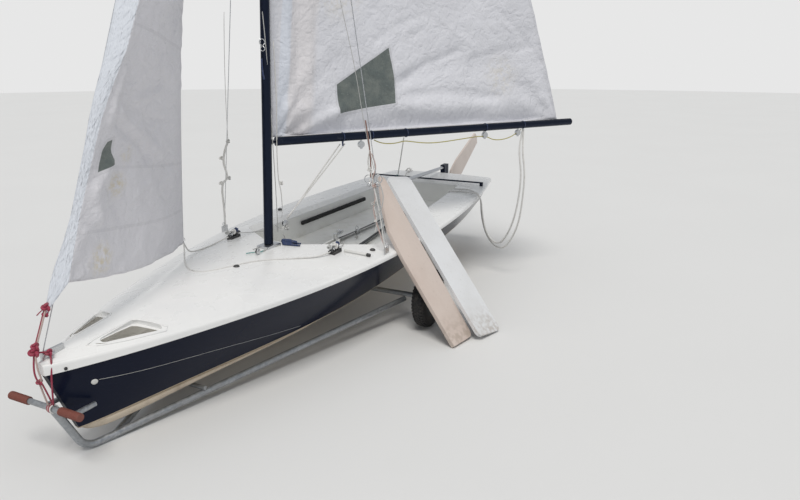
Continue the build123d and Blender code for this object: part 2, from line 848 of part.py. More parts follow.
def rail_point(x, side):
    """Centre of a rail at a ground station."""
    share = (bend_x - x) / (bend_x - axle_x)
    return Vector(x, side * share * rail_end_half, bend_z + share * (axle_z - tube_diameter - bend_z))


def crossbar():
    rail = rail_point(crossbar_x, 1)
    height = rail.Z + (tube_diameter + crossbar_diameter) / 2 + fit_gap
    half = rail.Y + tube_diameter / 2
    return rod((crossbar_x, -half, height), (crossbar_x, half, height), crossbar_diameter)


def under_hull(block):
    """The part of a block that lies below the hull."""
    hull_above = Pos(0, 0, -fit_gap) * on_trolley(hull_body())
    return min((block - hull_above).solids(), key=lambda s: s.center().Z)


def keel_rest():
    rail = rail_point(crossbar_x, 1)
    low = rail.Z + tube_diameter / 2 + crossbar_diameter + 2 * fit_gap
    block = Pos(crossbar_x, 0, low) * Box(90, 150, 120, align=(Align.CENTER, Align.CENTER, Align.MIN))
    return under_hull(block)


def cradle_bunks():
    """Two padded blocks on the axle that the hull sits on."""
    low = axle_z + axle_diameter / 2 + fit_gap
    bunks = []
    for side in (1, -1):
        block = Pos(axle_x, side * bunk_half, low) * Box(
            bunk_length, bunk_width, 200, align=(Align.CENTER, Align.CENTER, Align.MIN))
        bunks.append(under_hull(block))
    return Compound(bunks)


def bow_fork():
    """Square-cornered tube round the stem that steadies the bow, welded to the trolley's front tube."""
    half = fork_half + fork_diameter / 2
    fork = rod((fork_front_x, -half, fork_z), (fork_front_x, half, fork_z), fork_diameter)
    for side in (1, -1):
        arm = rod((fork_back_x, side * fork_half, fork_z), (fork_front_x, side * fork_half, fork_z), fork_diameter)
        fork += arm
    return fork - rail_path_port()


def axle():
    half = wheel_track / 2 - hub_width / 2 - 6
    end = wheel_track / 2 + hub_width / 2 + 14
    beam = rod((axle_x, -half, axle_z), (axle_x, half, axle_z), axle_diameter)
    beam += rod((axle_x, -end, axle_z), (axle_x, end, axle_z), 2 * spindle_radius)
    for side in (1, -1):
        inner = side * (wheel_track / 2 + hub_width / 2 + 1)
        outer = inner + side * 4
        beam += rod((axle_x, inner, axle_z), (axle_x, outer, axle_z), 34)
    return beam


def wheel_hub(side):
    """Dished rim with a hub tube that runs on the axle's spindle."""
    y = side * wheel_track / 2
    rim = rim_diameter / 2 - fit_gap
    section = Plane((axle_x, y, axle_z), x_dir=(0, side, 0), z_dir=(-side, 0, 0))
    bore = spindle_radius + running_gap
    half = hub_width / 2
    outline = [
        (-half, bore), (half, bore), (half, 26), (12, 30), (9, rim - 22), (tyre_width * 0.35, rim),
        (-tyre_width * 0.35, rim), (-9, rim - 22), (-12, 30), (-half, 26),
    ]
    profile = section * make_face(Polyline(*outline, close=True))
    return revolve(profile, Axis((axle_x, y, axle_z), (0, 1, 0)), 360)


def wheel_tyre(side):
    y = side * wheel_track / 2
    section = Plane((axle_x, y, axle_z), x_dir=(0, 1, 0), z_dir=(1, 0, 0))
    outer = wheel_diameter / 2
    inner = rim_diameter / 2
    half = tyre_width / 2
    shoulder = half * 0.62
    bulge = inner + (outer - inner) * 0.6
    outline = [(-half, inner), (half, inner), (half, bulge), (shoulder, outer), (-shoulder, outer), (-half, bulge)]
    profile = make_face(Polyline(*outline, close=True))
    return revolve(section * profile, Axis((axle_x, y, axle_z), (0, 1, 0)), 360)


def boat_nodes():
    return {
        "hull": hull(),
        "deck": deck(),
        "cockpit_tub": cockpit_tub(),
        "daggerboard_case": daggerboard_case(),
        "side_pad_port": side_pad(1),
        "side_pad_starboard": side_pad(-1),
        "mast": mast(),
        "mast_step": mast_step(),
        "boom": boom(),
        "mainsail": mainsail(),
        "jib": jib(),
        "forestay": forestay(),
        "chainplates": chainplates(),
        "shroud_port": shroud(1),
        "shroud_starboard": shroud(-1),
        "hounds_fitting": hounds_fitting(),
        "stem_fitting": stem_fitting(),
        "gooseneck": gooseneck(),
        "rudder_gudgeons": rudder_gudgeons(),
        "rudder_stock": rudder_stock(),
        "rudder_blade": rudder_blade(),
        "tiller": tiller(),
        "tiller_extension": tiller_extension(),
        "toe_straps": toe_straps(),
        "spreaders": spreaders(),
        "traveller": traveller(),
        "jib_cleats": jib_cleats(),
        "swivel_cleat": swivel_cleat(),
        "boom_blocks": boom_blocks(),
    }


def trolley_nodes():
    return {
        "trolley_rail_port": rail_port(),
        "trolley_rail_starboard": rail_starboard(),
        "tow_handle": tow_handle(),
        "handle_grips": handle_grips(),
        "axle": axle(),
        "crossbar": crossbar(),
        "keel_rest": keel_rest(),
        "cradle_bunks": cradle_bunks(),
        "bow_fork": bow_fork(),
        "tyre_port": wheel_tyre(1),
        "tyre_starboard": wheel_tyre(-1),
        "wheel_hub_port": wheel_hub(1),
        "wheel_hub_starboard": wheel_hub(-1),
        "daggerboard": daggerboard(),
        "spare_board": spare_board(),
    }


def all_nodes():
    nodes = {name: on_trolley(shape) for name, shape in boat_nodes().items()}
    nodes.update(trolley_nodes())
    return nodes


def whole(shape):
    """One solid, or a compound of the solids that a node holds."""
    solids = shape.solids()
    return solids[0] if len(solids) == 1 else Compound(solids)


def centred(shapes):
    """Move every node by one step, so that the origin is on the ground below the box's middle."""
    box = Compound(list(shapes.values())).bounding_box()
    step = Pos(-(box.min.X + box.max.X) / 2, -(box.min.Y + box.max.Y) / 2, -box.min.Z)
    return {name: step * shape for name, shape in shapes.items()}, step


nodes, to_origin = centred({name: whole(shape) for name, shape in all_nodes().items()})
os.makedirs("parts", exist_ok=True)
for name, shape in nodes.items():
    export_step(shape, f"parts/{name}.step")
print(len(nodes), "nodes, moved by", to_origin.position)
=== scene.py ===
# %% [markdown]
# # A sailing dinghy on its launching trolley
# A small boat stands ashore with both sails up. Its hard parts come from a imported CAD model, which
# is the frame of everything here: nothing of it is moved. Blender adds what a CAD kernel is poor at,
# which is cloth with creases, rope that hangs, worn paint and small deck fittings.
# %% Load the frame
import json
import math
import random

import bmesh
import bpy
import numpy as np
from mathutils import Matrix, Vector, noise
from mathutils.bvhtree import BVHTree


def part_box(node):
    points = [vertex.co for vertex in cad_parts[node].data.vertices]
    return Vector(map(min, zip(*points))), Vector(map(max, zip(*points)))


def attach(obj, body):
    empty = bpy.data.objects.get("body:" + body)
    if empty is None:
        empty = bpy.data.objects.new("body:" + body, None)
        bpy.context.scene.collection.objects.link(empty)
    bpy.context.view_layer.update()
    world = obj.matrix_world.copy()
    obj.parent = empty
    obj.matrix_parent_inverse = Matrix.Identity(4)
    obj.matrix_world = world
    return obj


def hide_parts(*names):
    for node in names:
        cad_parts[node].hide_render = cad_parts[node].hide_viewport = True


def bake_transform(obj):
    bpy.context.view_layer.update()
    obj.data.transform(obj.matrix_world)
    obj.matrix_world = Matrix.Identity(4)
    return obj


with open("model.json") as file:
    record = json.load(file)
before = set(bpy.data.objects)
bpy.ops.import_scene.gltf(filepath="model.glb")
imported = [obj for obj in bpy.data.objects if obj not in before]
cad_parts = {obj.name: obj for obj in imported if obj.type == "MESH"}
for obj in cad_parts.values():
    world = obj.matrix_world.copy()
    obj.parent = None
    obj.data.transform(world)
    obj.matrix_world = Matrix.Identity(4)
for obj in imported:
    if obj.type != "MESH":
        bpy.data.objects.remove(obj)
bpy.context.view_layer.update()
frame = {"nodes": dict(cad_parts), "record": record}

joints = {joint["name"]: joint for joint in frame["record"]["behaviour"]["joints"]}

# %% [markdown]
# ## Two frames to draw in
# The boat lies bow low on its trolley, so a deck fitting is easiest to place in the boat's own frame:
# x forward from the transom, y to port, z up from the hull-to-deck joint. Ropes that hang are easiest
# in the ground's frame. Each helper turns metres in one of them into the model's own frame. The boom's
# frame starts at the pin of its gooseneck and turns with it, so it is read from the joint.
# %% Frames
axle_low, axle_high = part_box("axle")
ground_zero = Vector(((axle_low.x + axle_high.x) / 2 + 0.05, (axle_low.y + axle_high.y) / 2, 0))
bow_down = math.radians(2.38)
midship, joint_height = 2.2, 0.545
sides = ((1, "port"), (-1, "starboard"))


def ground(x, y, z):
    return ground_zero + Vector((x, y, z))


def boat(x, y, z):
    x -= midship
    flat_x = x * math.cos(bow_down) + z * math.sin(bow_down)
    return ground(flat_x, y, z * math.cos(bow_down) - x * math.sin(bow_down) + joint_height)


def points_in(frame_of, *places):
    """A list of points, each given by its three numbers in one of the frames."""
    return [frame_of(*place) for place in places]


boom_pin = Vector(joints["boom_swing"]["pos_m"])
mast_up = Vector(joints["boom_swing"]["axis"]).normalized()
mast_aft = Vector((-mast_up.z, 0, mast_up.x))
boom_level = Matrix.Rotation(math.radians(-30), 3, mast_up) @ mast_aft
boom_side = mast_up.cross(boom_level)
boom_dir = Matrix.Rotation(math.radians(-3), 3, boom_side) @ boom_level


def along_boom(distance, up=0.0, side=0.0):
    return boom_pin + boom_dir * distance + mast_up * up + boom_side * side


print("gooseneck at", tuple(round(v, 3) for v in boom_pin), "boom runs",
      tuple(round(v, 2) for v in boom_dir))

# %% [markdown]
# ## Into the scene
# Blender keeps an object's data and the object apart, and shows only what a collection holds. Curves and
# modifiers are read back as a plain mesh from the evaluated copy of their object, and a bmesh is the
# editable form of a mesh. These four helpers are used all through the script.
# %% Scene helpers
def in_scene(name, data):
    made = bpy.data.objects.new(name, data)
    bpy.context.scene.collection.objects.link(made)
    return made


def evaluated(holder):
    """The mesh that an object's curve or modifiers give, as data of its own."""
    return bpy.data.meshes.new_from_object(holder.evaluated_get(bpy.context.evaluated_depsgraph_get()))


def plain_data(name, mesh):
    """A bmesh turned into mesh data, and freed."""
    data = bpy.data.meshes.new(name)
    mesh.to_mesh(data)
    mesh.free()
    return data


def face_out(mesh):
    bmesh.ops.recalc_face_normals(mesh, faces=mesh.faces)


print("scene helpers ready")

# %% [markdown]
# ## The camera
# The lens and place were worked out from the photograph's perspective: a phone held at eye height off
# the port bow, tipped sixteen degrees down.
# %% Camera
yaw, pitch = -2.6848, 0.28
looking = Vector((math.cos(yaw) * math.cos(pitch), math.sin(yaw) * math.cos(pitch), -math.sin(pitch)))
to_right = Vector((math.sin(yaw), -math.cos(yaw), 0))
to_top = to_right.cross(looking)
camera_place = ground(3.8149, 2.5048, 1.7469)
camera_data = bpy.data.cameras.new("camera")
camera_data.lens = 29.6
camera_data.sensor_width = 36
camera = in_scene("camera", camera_data)
turn = Matrix((to_right, to_top, -looking)).transposed().to_4x4()
camera.matrix_world = Matrix.Translation(camera_place) @ turn
bpy.context.scene.camera = camera
bpy.context.scene.view_settings.view_transform = "Standard"
print("camera at", tuple(round(v, 2) for v in camera_place), "lens", camera_data.lens, "mm")

# %% [markdown]
# ## A notebook for finishes
# A material is a small program that feeds one Principled shader. The class keeps the long node calls
# short: `node` makes any node and joins its inputs, and the few helpers below it make what almost every
# real surface needs, which is noise at some scale, a soft step, a colour mix and a bump.
# %% Material notebook
class Finish:
    """One material: a Principled shader and the nodes that feed it."""

    def __init__(self, name, colour, roughness=0.5, metallic=0.0, **sockets):
        self.material = bpy.data.materials.new(name)
        self.material.use_nodes = True
        self.tree = self.material.node_tree
        self.shader = self.tree.nodes["Principled BSDF"]
        self.colour = (*colour, 1)
        values = {"Base Color": self.colour, "Roughness": roughness, "Metallic": metallic, **sockets}
        for socket, value in values.items():
            self.shader.inputs[socket].default_value = value
        self.heights = []

    def node(self, kind, inputs=None, **settings):
        made = self.tree.nodes.new(kind)
        for key, value in settings.items():
            setattr(made, key, value)
        for socket, value in (inputs or {}).items():
            if isinstance(value, bpy.types.NodeSocket):
                self.tree.links.new(value, made.inputs[socket])
            else:
                made.inputs[socket].default_value = value
        return made

    def place(self, source="Object", scale=(1, 1, 1)):
        read = self.node("ShaderNodeTexCoord")
        return self.node("ShaderNodeMapping", {0: read.outputs[source], "Scale": scale}).outputs[0]

    def noise(self, place, scale, detail=3.0, roughness=0.5):
        values = {"Vector": place, "Scale": scale, "Detail": detail, "Roughness": roughness}
        return self.node("ShaderNodeTexNoise", values).outputs[0]

    def noise_vector(self, place, scale, reach):
        """A noise that points anywhere up to about that reach, to bend another texture's place."""
        made = self.node("ShaderNodeTexNoise", {"Vector": place, "Scale": scale, "Detail": 2.0})
        level = self.node("ShaderNodeVectorMath", {0: made.outputs[1], 1: (0.5, 0.5, 0.5)},
                          operation="SUBTRACT").outputs[0]
        return self.node("ShaderNodeVectorMath", {0: level, "Scale": reach * 2},
                         operation="SCALE").outputs[0]

    def math(self, operation, first, second=0.0):
        return self.node("ShaderNodeMath", {0: first, 1: second}, operation=operation).outputs[0]

    def times(self, first, second):
        return self.math("MULTIPLY", first, second)

    def plus(self, first, second):
        return self.math("ADD", first, second)

    def minus(self, first, second):
        return self.math("SUBTRACT", first, second)

    def step(self, value, low, high, start=0.0, end=1.0):
        values = {0: value, 1: low, 2: high, 3: start, 4: end}
        return self.node("ShaderNodeMapRange", values, interpolation_type="SMOOTHSTEP").outputs[0]

    def mix(self, share, first, second):
        made = self.node("ShaderNodeMix", {0: share}, data_type="RGBA")
        for socket, value in ((6, first), (7, second)):
            if isinstance(value, bpy.types.NodeSocket):
                self.tree.links.new(value, made.inputs[socket])
            else:
                made.inputs[socket].default_value = (*value[:3], 1)
        return made.outputs[2]

    def paint(self, colour):
        self.tree.links.new(colour, self.shader.inputs["Base Color"])

    def polish(self, value):
        self.tree.links.new(value, self.shader.inputs["Roughness"])

    def bump(self, height, depth, strength=1.0):
        """Adds a relief of that depth in metres under any relief made before."""
        values = {"Height": height, "Distance": depth, "Strength": strength}
        made = self.node("ShaderNodeBump", values)
        if self.heights:
            self.tree.links.new(self.heights[-1], made.inputs["Normal"])
        self.heights.append(made.outputs[0])
        self.tree.links.new(made.outputs[0], self.shader.inputs["Normal"])

    def axis(self, place, which):
        return self.node("ShaderNodeSeparateXYZ", {0: place}).outputs[which]


# %% [markdown]
# ## Hull and deck
# The topsides are black-navy gelcoat that still has its shine, with fine scratches along the hull. Below
# the chine the hull is cream, so one material holds both and changes where the height in the boat's frame
# passes the chine. The deck is white gelcoat, faintly mottled and flecked with dirt. Painting by
# position keeps the CAD mesh as it is.
# %% Gelcoat
def above_line(finish, place, low, rise):
    """Height in the boat's frame over a straight line that is low at the transom and rises forward."""
    x, z = finish.axis(place, 0), finish.axis(place, 2)
    x = finish.minus(x, ground_zero.x)
    z = finish.minus(z, joint_height)
    boat_z = finish.plus(finish.times(x, math.sin(bow_down)),
                         finish.times(z, math.cos(bow_down)))
    boat_x = finish.minus(finish.times(x, math.cos(bow_down)),
                         finish.times(z, math.sin(bow_down)))
    line = finish.plus(finish.times(boat_x, rise), low + rise * midship)
    return finish.minus(boat_z, line)


def hull_gelcoat():
    made = Finish("hull_gelcoat", (0.012, 0.014, 0.026), 0.22)
    made.shader.inputs["Specular IOR Level"].default_value = 0.12
    place = made.place()
    over = above_line(made, place, -0.203, -0.0275)
    cream = made.step(over, -0.001, 0.001, 1.0, 0.0)
    dirt = made.step(made.noise(place, 3.5, 6.0, 0.65), 0.42, 0.68)
    low = made.mix(dirt, (0.62, 0.53, 0.40), (0.40, 0.33, 0.25))
    scratches = made.noise(made.place(scale=(1.5, 6, 60)), 9.0, 4.0, 0.7)
    haze = made.step(scratches, 0.52, 0.78)
    dusty = made.mix(made.times(haze, 0.25), (0.007, 0.010, 0.024), (0.022, 0.028, 0.055))
    made.paint(made.mix(cream, dusty, low))
    rough = made.step(haze, 0.0, 1.0, 0.18, 0.34)
    made.polish(made.plus(rough, made.times(cream, 0.25)))
    made.bump(made.noise(place, 1.6, 2.0), 0.0010, 0.4)
    made.bump(scratches, 0.00008, 0.3)
    return made.material


def deck_gelcoat():
    made = Finish("deck_gelcoat", (0.80, 0.80, 0.79), 0.28)
    made.shader.inputs["Coat Weight"].default_value = 0.25
    made.shader.inputs["Coat Roughness"].default_value = 0.12
    place = made.place()
    cloud = made.step(made.noise(place, 2.2, 5.0, 0.6), 0.38, 0.72)
    grime = made.step(made.noise(place, 14.0, 6.0, 0.7), 0.60, 0.85)
    colour = made.mix(cloud, (0.83, 0.83, 0.82), (0.77, 0.775, 0.775))
    made.paint(made.mix(made.times(grime, 0.06), colour, (0.55, 0.53, 0.48)))
    made.polish(made.step(made.noise(place, 8.0, 5.0), 0.3, 0.7, 0.22, 0.42))
    made.bump(made.noise(place, 2.0, 1.0), 0.0006, 0.3)
    return made.material


def tub_gelcoat():
    """Grey-white moulding with a fine non-slip grain, dirty where feet go."""
    made = Finish("tub_gelcoat", (0.80, 0.80, 0.78), 0.45)
    place = made.place()
    height = made.axis(place, 2)
    foot = made.step(height, 0.34, 0.50, 1.0, 0.0)
    grime = made.step(made.noise(place, 7.0, 6.0, 0.7), 0.42, 0.75)
    colour = made.mix(made.step(made.noise(place, 3.0), 0.3, 0.7), (0.84, 0.84, 0.81), (0.78, 0.78, 0.755))
    share = made.times(made.times(grime, foot), 0.8)
    made.paint(made.mix(share, colour, (0.50, 0.48, 0.42)))
    cells = made.node("ShaderNodeTexVoronoi", {"Vector": place, "Scale": 260.0}).outputs[0]
    made.bump(cells, 0.0006, 0.4)
    return made.material


finishes = {"hull": hull_gelcoat(), "deck": deck_gelcoat(), "tub": tub_gelcoat()}
print("gelcoats:", [material.name for material in finishes.values()])

# %% [markdown]
# ## Metals
# Four metals are on the boat. The mast and boom are dark anodised tube, the tiller and traveller plain
# alloy, the rigging stainless steel, and the trolley hot-dip galvanised, whose zinc crystals make pale and
# dark flakes a centimetre across. Voronoi cells give those flakes, and noise squeezed along one axis
# gives the drawn tube its lengthwise grain.
# %% Metals
def drawn_metal(name, colour, roughness, grain_scale, wear, worn):
    made = Finish(name, colour, roughness, 1.0)
    place = made.place(scale=grain_scale)
    grain = made.noise(place, 40.0, 4.0, 0.6)
    rub = made.step(made.noise(made.place(), 9.0, 6.0, 0.75), 0.60, 0.74)
    made.paint(made.mix(made.times(rub, wear), colour, worn))
    made.polish(made.step(grain, 0.3, 0.7, roughness - 0.07, roughness + 0.1))
    made.bump(grain, 0.00005, 0.5)
    return made.material


def galvanised():
    made = Finish("galvanised", (0.36, 0.38, 0.40), 0.45, 0.85)
    place = made.place()
    cells = made.node("ShaderNodeTexVoronoi", {"Vector": place, "Scale": 75.0, "Randomness": 1.0})
    tone = made.node("ShaderNodeSeparateColor", {0: cells.outputs[1]}).outputs[0]
    dull = made.step(made.noise(place, 6.0, 5.0, 0.7), 0.35, 0.7)
    flakes = made.mix(tone, (0.30, 0.32, 0.345), (0.45, 0.47, 0.49))
    made.paint(made.mix(made.times(dull, 0.6), flakes, (0.33, 0.33, 0.33)))
    made.polish(made.step(made.plus(tone, dull), 0.0, 1.6, 0.36, 0.6))
    made.bump(made.noise(place, 55.0, 4.0), 0.0004, 0.4)
    return made.material


for name, *looks in (
        # colour, roughness, grain scale, share of wear, worn colour
        ("dark_alloy", (0.020, 0.026, 0.045), 0.38, (1, 1, 0.05), 0.35, (0.2, 0.21, 0.23)),
        ("bright_alloy", (0.62, 0.63, 0.65), 0.32, (0.05, 1, 1), 0.5, (0.45, 0.45, 0.45)),
        ("stainless", (0.58, 0.59, 0.60), 0.25, (1, 1, 1), 0.4, (0.42, 0.40, 0.37))):
    finishes[name] = drawn_metal(name, *looks)
finishes["galvanised"] = galvanised()
print("with the metals:", sorted(finishes))


# %% [markdown]
# ## Plastics, rubber and painted wood
# The grips are brick-red ribbed rubber, the cleats black plastic, the tyres dusty black and their wheels a
# chalky off-white moulding. The two boards and the rudder blade are painted: one has gone cream
# and pink with age and one is still white. Each gets a chalky, scuffed paint with dirt at its lower end.
# %% Plastics and paint
def moulded(name, colour, roughness, dust=(0.35, 0.33, 0.30), dusty=0.25, grain=350.0, depth=0.0002):
    made = Finish(name, colour, roughness)
    place = made.place()
    cover = made.step(made.noise(place, 16.0, 6.0, 0.7), 0.45, 0.75)
    made.paint(made.mix(made.times(cover, dusty), colour, dust))
    made.polish(made.step(cover, 0.0, 1.0, roughness - 0.05, min(roughness + 0.2, 1.0)))
    made.bump(made.noise(place, grain, 2.0), depth, 0.5)
    return made.material


def board_paint(name, colour, aged, scuffed):
    made = Finish(name, colour, 0.4)
    place = made.place()
    age = made.step(made.noise(place, 3.0, 5.0, 0.6), 0.35, 0.7)
    streak = made.noise(made.place(scale=(1, 1, 0.12)), 60.0, 5.0, 0.7)
    worn = made.step(streak, 0.58, 0.72)
    foot = made.step(made.axis(place, 2), 0.0, 0.22, 1.0, 0.0)
    dirt = made.times(foot, made.step(made.noise(place, 30.0, 5.0), 0.35, 0.65))
    colours = made.mix(age, colour, aged)
    colours = made.mix(made.times(worn, 0.45), colours, scuffed)
    made.paint(made.mix(made.times(dirt, 0.55), colours, (0.33, 0.27, 0.21)))
    made.polish(made.step(worn, 0.0, 1.0, 0.33, 0.6))
    made.bump(streak, 0.0002, 0.5)
    made.bump(made.noise(place, 3.0, 2.0), 0.0015, 0.5)
    return made.material


for finish_name, *looks in (
        # material, colour, roughness, dust colour, share of dust, grain, its depth
        ("grip", "grip_rubber", (0.20, 0.062, 0.045), 0.66, (0.24, 0.15, 0.13), 0.3),
        ("black_plastic", "black_plastic", (0.018, 0.018, 0.020), 0.42),
        ("tyre", "tyre_rubber", (0.018, 0.018, 0.019), 0.75, (0.16, 0.145, 0.125), 0.45, 180.0, 0.0005),
        ("rim", "rim_plastic", (0.66, 0.66, 0.64), 0.5, (0.42, 0.39, 0.34), 0.5),
        # recess_shade: a grey that is painted shade inside the foredeck recesses
        ("recess_shade", "recess_shade", (0.52, 0.50, 0.45), 0.8, (0.42, 0.40, 0.35), 0.6, 500.0, 0.0008),
        ("foam", "closed_foam", (0.016, 0.016, 0.017), 0.85, (0.10, 0.10, 0.10), 0.3, 420.0, 0.0006)):
    finishes[finish_name] = moulded(*looks)
for name, *looks in (
        # colour, aged colour, scuffed colour
        ("cream_board", (0.63, 0.54, 0.485), (0.57, 0.475, 0.42), (0.44, 0.35, 0.30)),
        ("white_board", (0.74, 0.75, 0.765), (0.68, 0.685, 0.69), (0.50, 0.49, 0.47)),
        ("blade_paint", (0.64, 0.56, 0.51), (0.57, 0.49, 0.44), (0.42, 0.36, 0.32))):
    finishes[name] = board_paint(name, *looks)
print("finishes so far:", len(finishes))

# %% [markdown]
# ## Dress the CAD parts
# Every CAD node that stays on show takes one of these finishes in its material slots. Soft parts get
# pieces of their own later, which stand in for their nodes.
# %% Give finishes to the CAD nodes
dressing = {"hull": ("hull",), "deck": ("deck",), "tub": ("cockpit_tub", "daggerboard_case"),
            "dark_alloy": ("mast", "boom", "spreaders", "rudder_stock", "traveller"),
            "bright_alloy": ("tiller", "tiller_extension", "mast_step"),
            "stainless": ("forestay", "shroud_port", "shroud_starboard", "hounds_fitting", "chainplates",
                          "stem_fitting", "gooseneck", "rudder_gudgeons", "swivel_cleat", "boom_blocks"),
            "galvanised": ("trolley_rail_port", "trolley_rail_starboard", "tow_handle", "axle", "crossbar",
                           "bow_fork"),
            "grip": ("handle_grips",), "black_plastic": ("jib_cleats",),
            "tyre": ("tyre_port", "tyre_starboard"), "rim": ("wheel_hub_port", "wheel_hub_starboard"),
            "foam": ("keel_rest", "cradle_bunks", "side_pad_port", "side_pad_starboard", "toe_straps"),
            "cream_board": ("daggerboard",), "white_board": ("spare_board",),
            "blade_paint": ("rudder_blade",)}
dressed = set()
for finish_name, node_names in dressing.items():
    for node_name in node_names:
        node = frame["nodes"][node_name]
        for index in range(max(1, len(node.material_slots))):
            if index >= len(node.data.materials):
                node.data.materials.append(finishes[finish_name])
            node.material_slots[index].material = finishes[finish_name]
        dressed.add(node_name)
print("dressed", len(dressed), "nodes; left for cloth:", sorted(set(frame["nodes"]) - dressed))

# %% [markdown]
# ## Rope
# A rope is a line first and a tube second. The line is a NURBS spline through a few given points, so
# it bends the way a rope does, and the tube is swept along the points that Blender reads off that spline.
# The sweep carries its ring from point to point without twisting it, and writes the length along the
# rope into the UV map, so that the braid can follow every bend.
# %% Rope tools
def spline_line(points, fineness=10):
    """Points read along the NURBS spline that these control points make."""
    curve = bpy.data.curves.new("route", "CURVE")
    curve.dimensions = "3D"
    spline = curve.splines.new("NURBS")
    spline.points.add(len(points) - 1)
    for knot_point, place in zip(spline.points, points):
        knot_point.co = (*place, 1)
    spline.order_u = 3
    spline.use_endpoint_u = True
    spline.resolution_u = fineness
    holder = in_scene("route", curve)
    flat = evaluated(holder)
    line = [vertex.co.copy() for vertex in flat.vertices]
    bpy.data.objects.remove(holder)
    bpy.data.meshes.remove(flat)
    bpy.data.curves.remove(curve)
    return line


def line_length(line):
    return sum((b - a).length for a, b in zip(line, line[1:]))


def sweep(line, radii, sides=8, closed=False):
    """A tube mesh along a line, with its UV map's u along it in metres and v once around it. radii is one
    number, or one for each point."""
    count = len(line)
    radii = [radii] * count if isinstance(radii, float) else radii
    tangents = []
    for i in range(count):
        before = line[(i - 1) % count] if closed else line[max(i - 1, 0)]
        after = line[(i + 1) % count] if closed else line[min(i + 1, count - 1)]
        tangents.append((after - before).normalized())
    side = tangents[0].orthogonal().normalized()
    mesh = bmesh.new()
    uv = mesh.loops.layers.uv.new("along")
    rings, run, runs = [], 0.0, []
    for i in range(count):
        side = (side - tangents[i] * side.dot(tangents[i])).normalized()
        across = tangents[i].cross(side)
        run += (line[i] - line[i - 1]).length if i else 0.0
        runs.append(run)
        ring = []
        for k in range(sides):
            angle = 2 * math.pi * k / sides
            ring.append(mesh.verts.new(line[i] + (side * math.cos(angle) + across * math.sin(angle))
                                       * radii[i]))
        rings.append(ring)
    pairs = [(i, i + 1) for i in range(count - 1)] + ([(count - 1, 0)] if closed else [])
    for i, j in pairs:
        end = runs[j] if j else run + (line[0] - line[-1]).length
        for k in range(sides):
            n = (k + 1) % sides
            face = mesh.faces.new((rings[i][k], rings[i][n], rings[j][n], rings[j][k]))
            face.smooth = True
            marks = ((runs[i], k), (runs[i], k + 1), (end, k + 1), (end, k))
            for loop, (u, v) in zip(face.loops, marks):
                loop[uv].uv = (u, v / sides)
    if not closed:
        mesh.faces.new(list(reversed(rings[0])))
        mesh.faces.new(rings[-1])
    face_out(mesh)
    return mesh


def piece(name, mesh, finish, body, smooth=None):
    """A finished object from a bmesh or a mesh: named, dressed and riding on its body."""
    if isinstance(mesh, bmesh.types.BMesh):
        data = plain_data(name, mesh)
    else:
        data = mesh
        data.name = name
    if smooth is not None:
        data.polygons.foreach_set("use_smooth", [smooth] * len(data.polygons))
    made = in_scene(name, data)
    data.materials.clear()
    data.materials.append(finishes[finish])
    if body:
        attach(made, body)
    return made


def rope(name, points, diameter, finish="white_rope", body="boat", fineness=10):
    """A rope through given points. Returns the piece and the line that it follows."""
    line = spline_line(points, fineness)
    radii = [diameter / 2] * len(line)
    radii[0] = radii[-1] = diameter * 0.38
    return piece(name, sweep(line, radii), finish, body), line


# %% [markdown]
# ## Rope's own look
# Dinghy lines are braided. Two sets of diagonal ridges in the rope's own UV map, one each way, make
# the plait, and the coloured ones carry a fleck of a second yarn. The plait's hollows are painted darker, as
# painted shade.
# %% Rope finishes
def braid(name, colour, fleck, share, pitch=0.007):
    made = Finish(name, colour, 0.8)
    uv = made.place("UV")
    along = made.times(made.axis(uv, 0), 2 * math.pi / pitch)
    around = made.times(made.axis(uv, 1), 2 * math.pi * 4)
    first = made.math("SINE", made.plus(along, around))
    second = made.math("SINE", made.minus(along, around))
    plait = made.times(first, second)
    dirt = made.noise(made.place(), 40.0, 4.0)
    # painted shade: the plait's hollows are darkened to stand in for shade in its grooves
    hollow = made.step(plait, -0.6, 0.5, 1.0, 0.0)
    hollow_shade_colour = tuple(c * 0.55 for c in colour)
    colours = made.mix(made.times(hollow, 0.55), colour, hollow_shade_colour)
    marks = made.times(made.step(first, 0.6, 0.8), share)
    colours = made.mix(marks, colours, fleck)
    made.paint(made.mix(made.step(dirt, 0.45, 0.7, 0.0, 0.22), colours, (0.30, 0.28, 0.25)))
    made.bump(plait, 0.0006, 0.8)
    return made.material


for name, *looks in (
        # colour, fleck colour, share of fleck, pitch of the plait
        ("white_rope", (0.80, 0.79, 0.76), (0.45, 0.47, 0.53), 0.25),
        ("grey_rope", (0.60, 0.60, 0.58), (0.32, 0.33, 0.37), 0.4),
        ("red_rope", (0.36, 0.022, 0.065), (0.5, 0.30, 0.32), 0.3, 0.004),
        ("teal_rope", (0.05, 0.33, 0.36), (0.55, 0.60, 0.20), 0.5, 0.005),
        ("navy_rope", (0.03, 0.05, 0.13), (0.10, 0.14, 0.30), 0.4, 0.005),
        ("yellow_rope", (0.58, 0.50, 0.16), (0.25, 0.35, 0.15), 0.4, 0.005),
        ("rust_rope", (0.27, 0.14, 0.11), (0.45, 0.35, 0.30), 0.4, 0.005),
        ("pink_rope", (0.60, 0.47, 0.43), (0.45, 0.20, 0.20), 0.25, 0.006)):
    finishes[name] = braid(name, *looks)
print("rope finishes ready")

# %% [markdown]
# ## The mainsheet
# Its doubled tail hangs slack from under the boom, drops to a low bight and comes up over the port gunwale
# into the cockpit. A rope held only at its two ends is a catenary, drawn here with points given down
# both sides. The second strand lies a little inside the first. Both cross the boom's joint, so each mesh
# is left on neither body.
# %% Mainsheet
def held_rope(name, points, diameter, finish):
    """A rope between the boat and the boom. Its points run from the boom down to the boat."""
    made, line = rope(name, points, diameter, finish, None)
    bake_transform(made)
    print(name, "length", round(line_length(line), 3), "m")


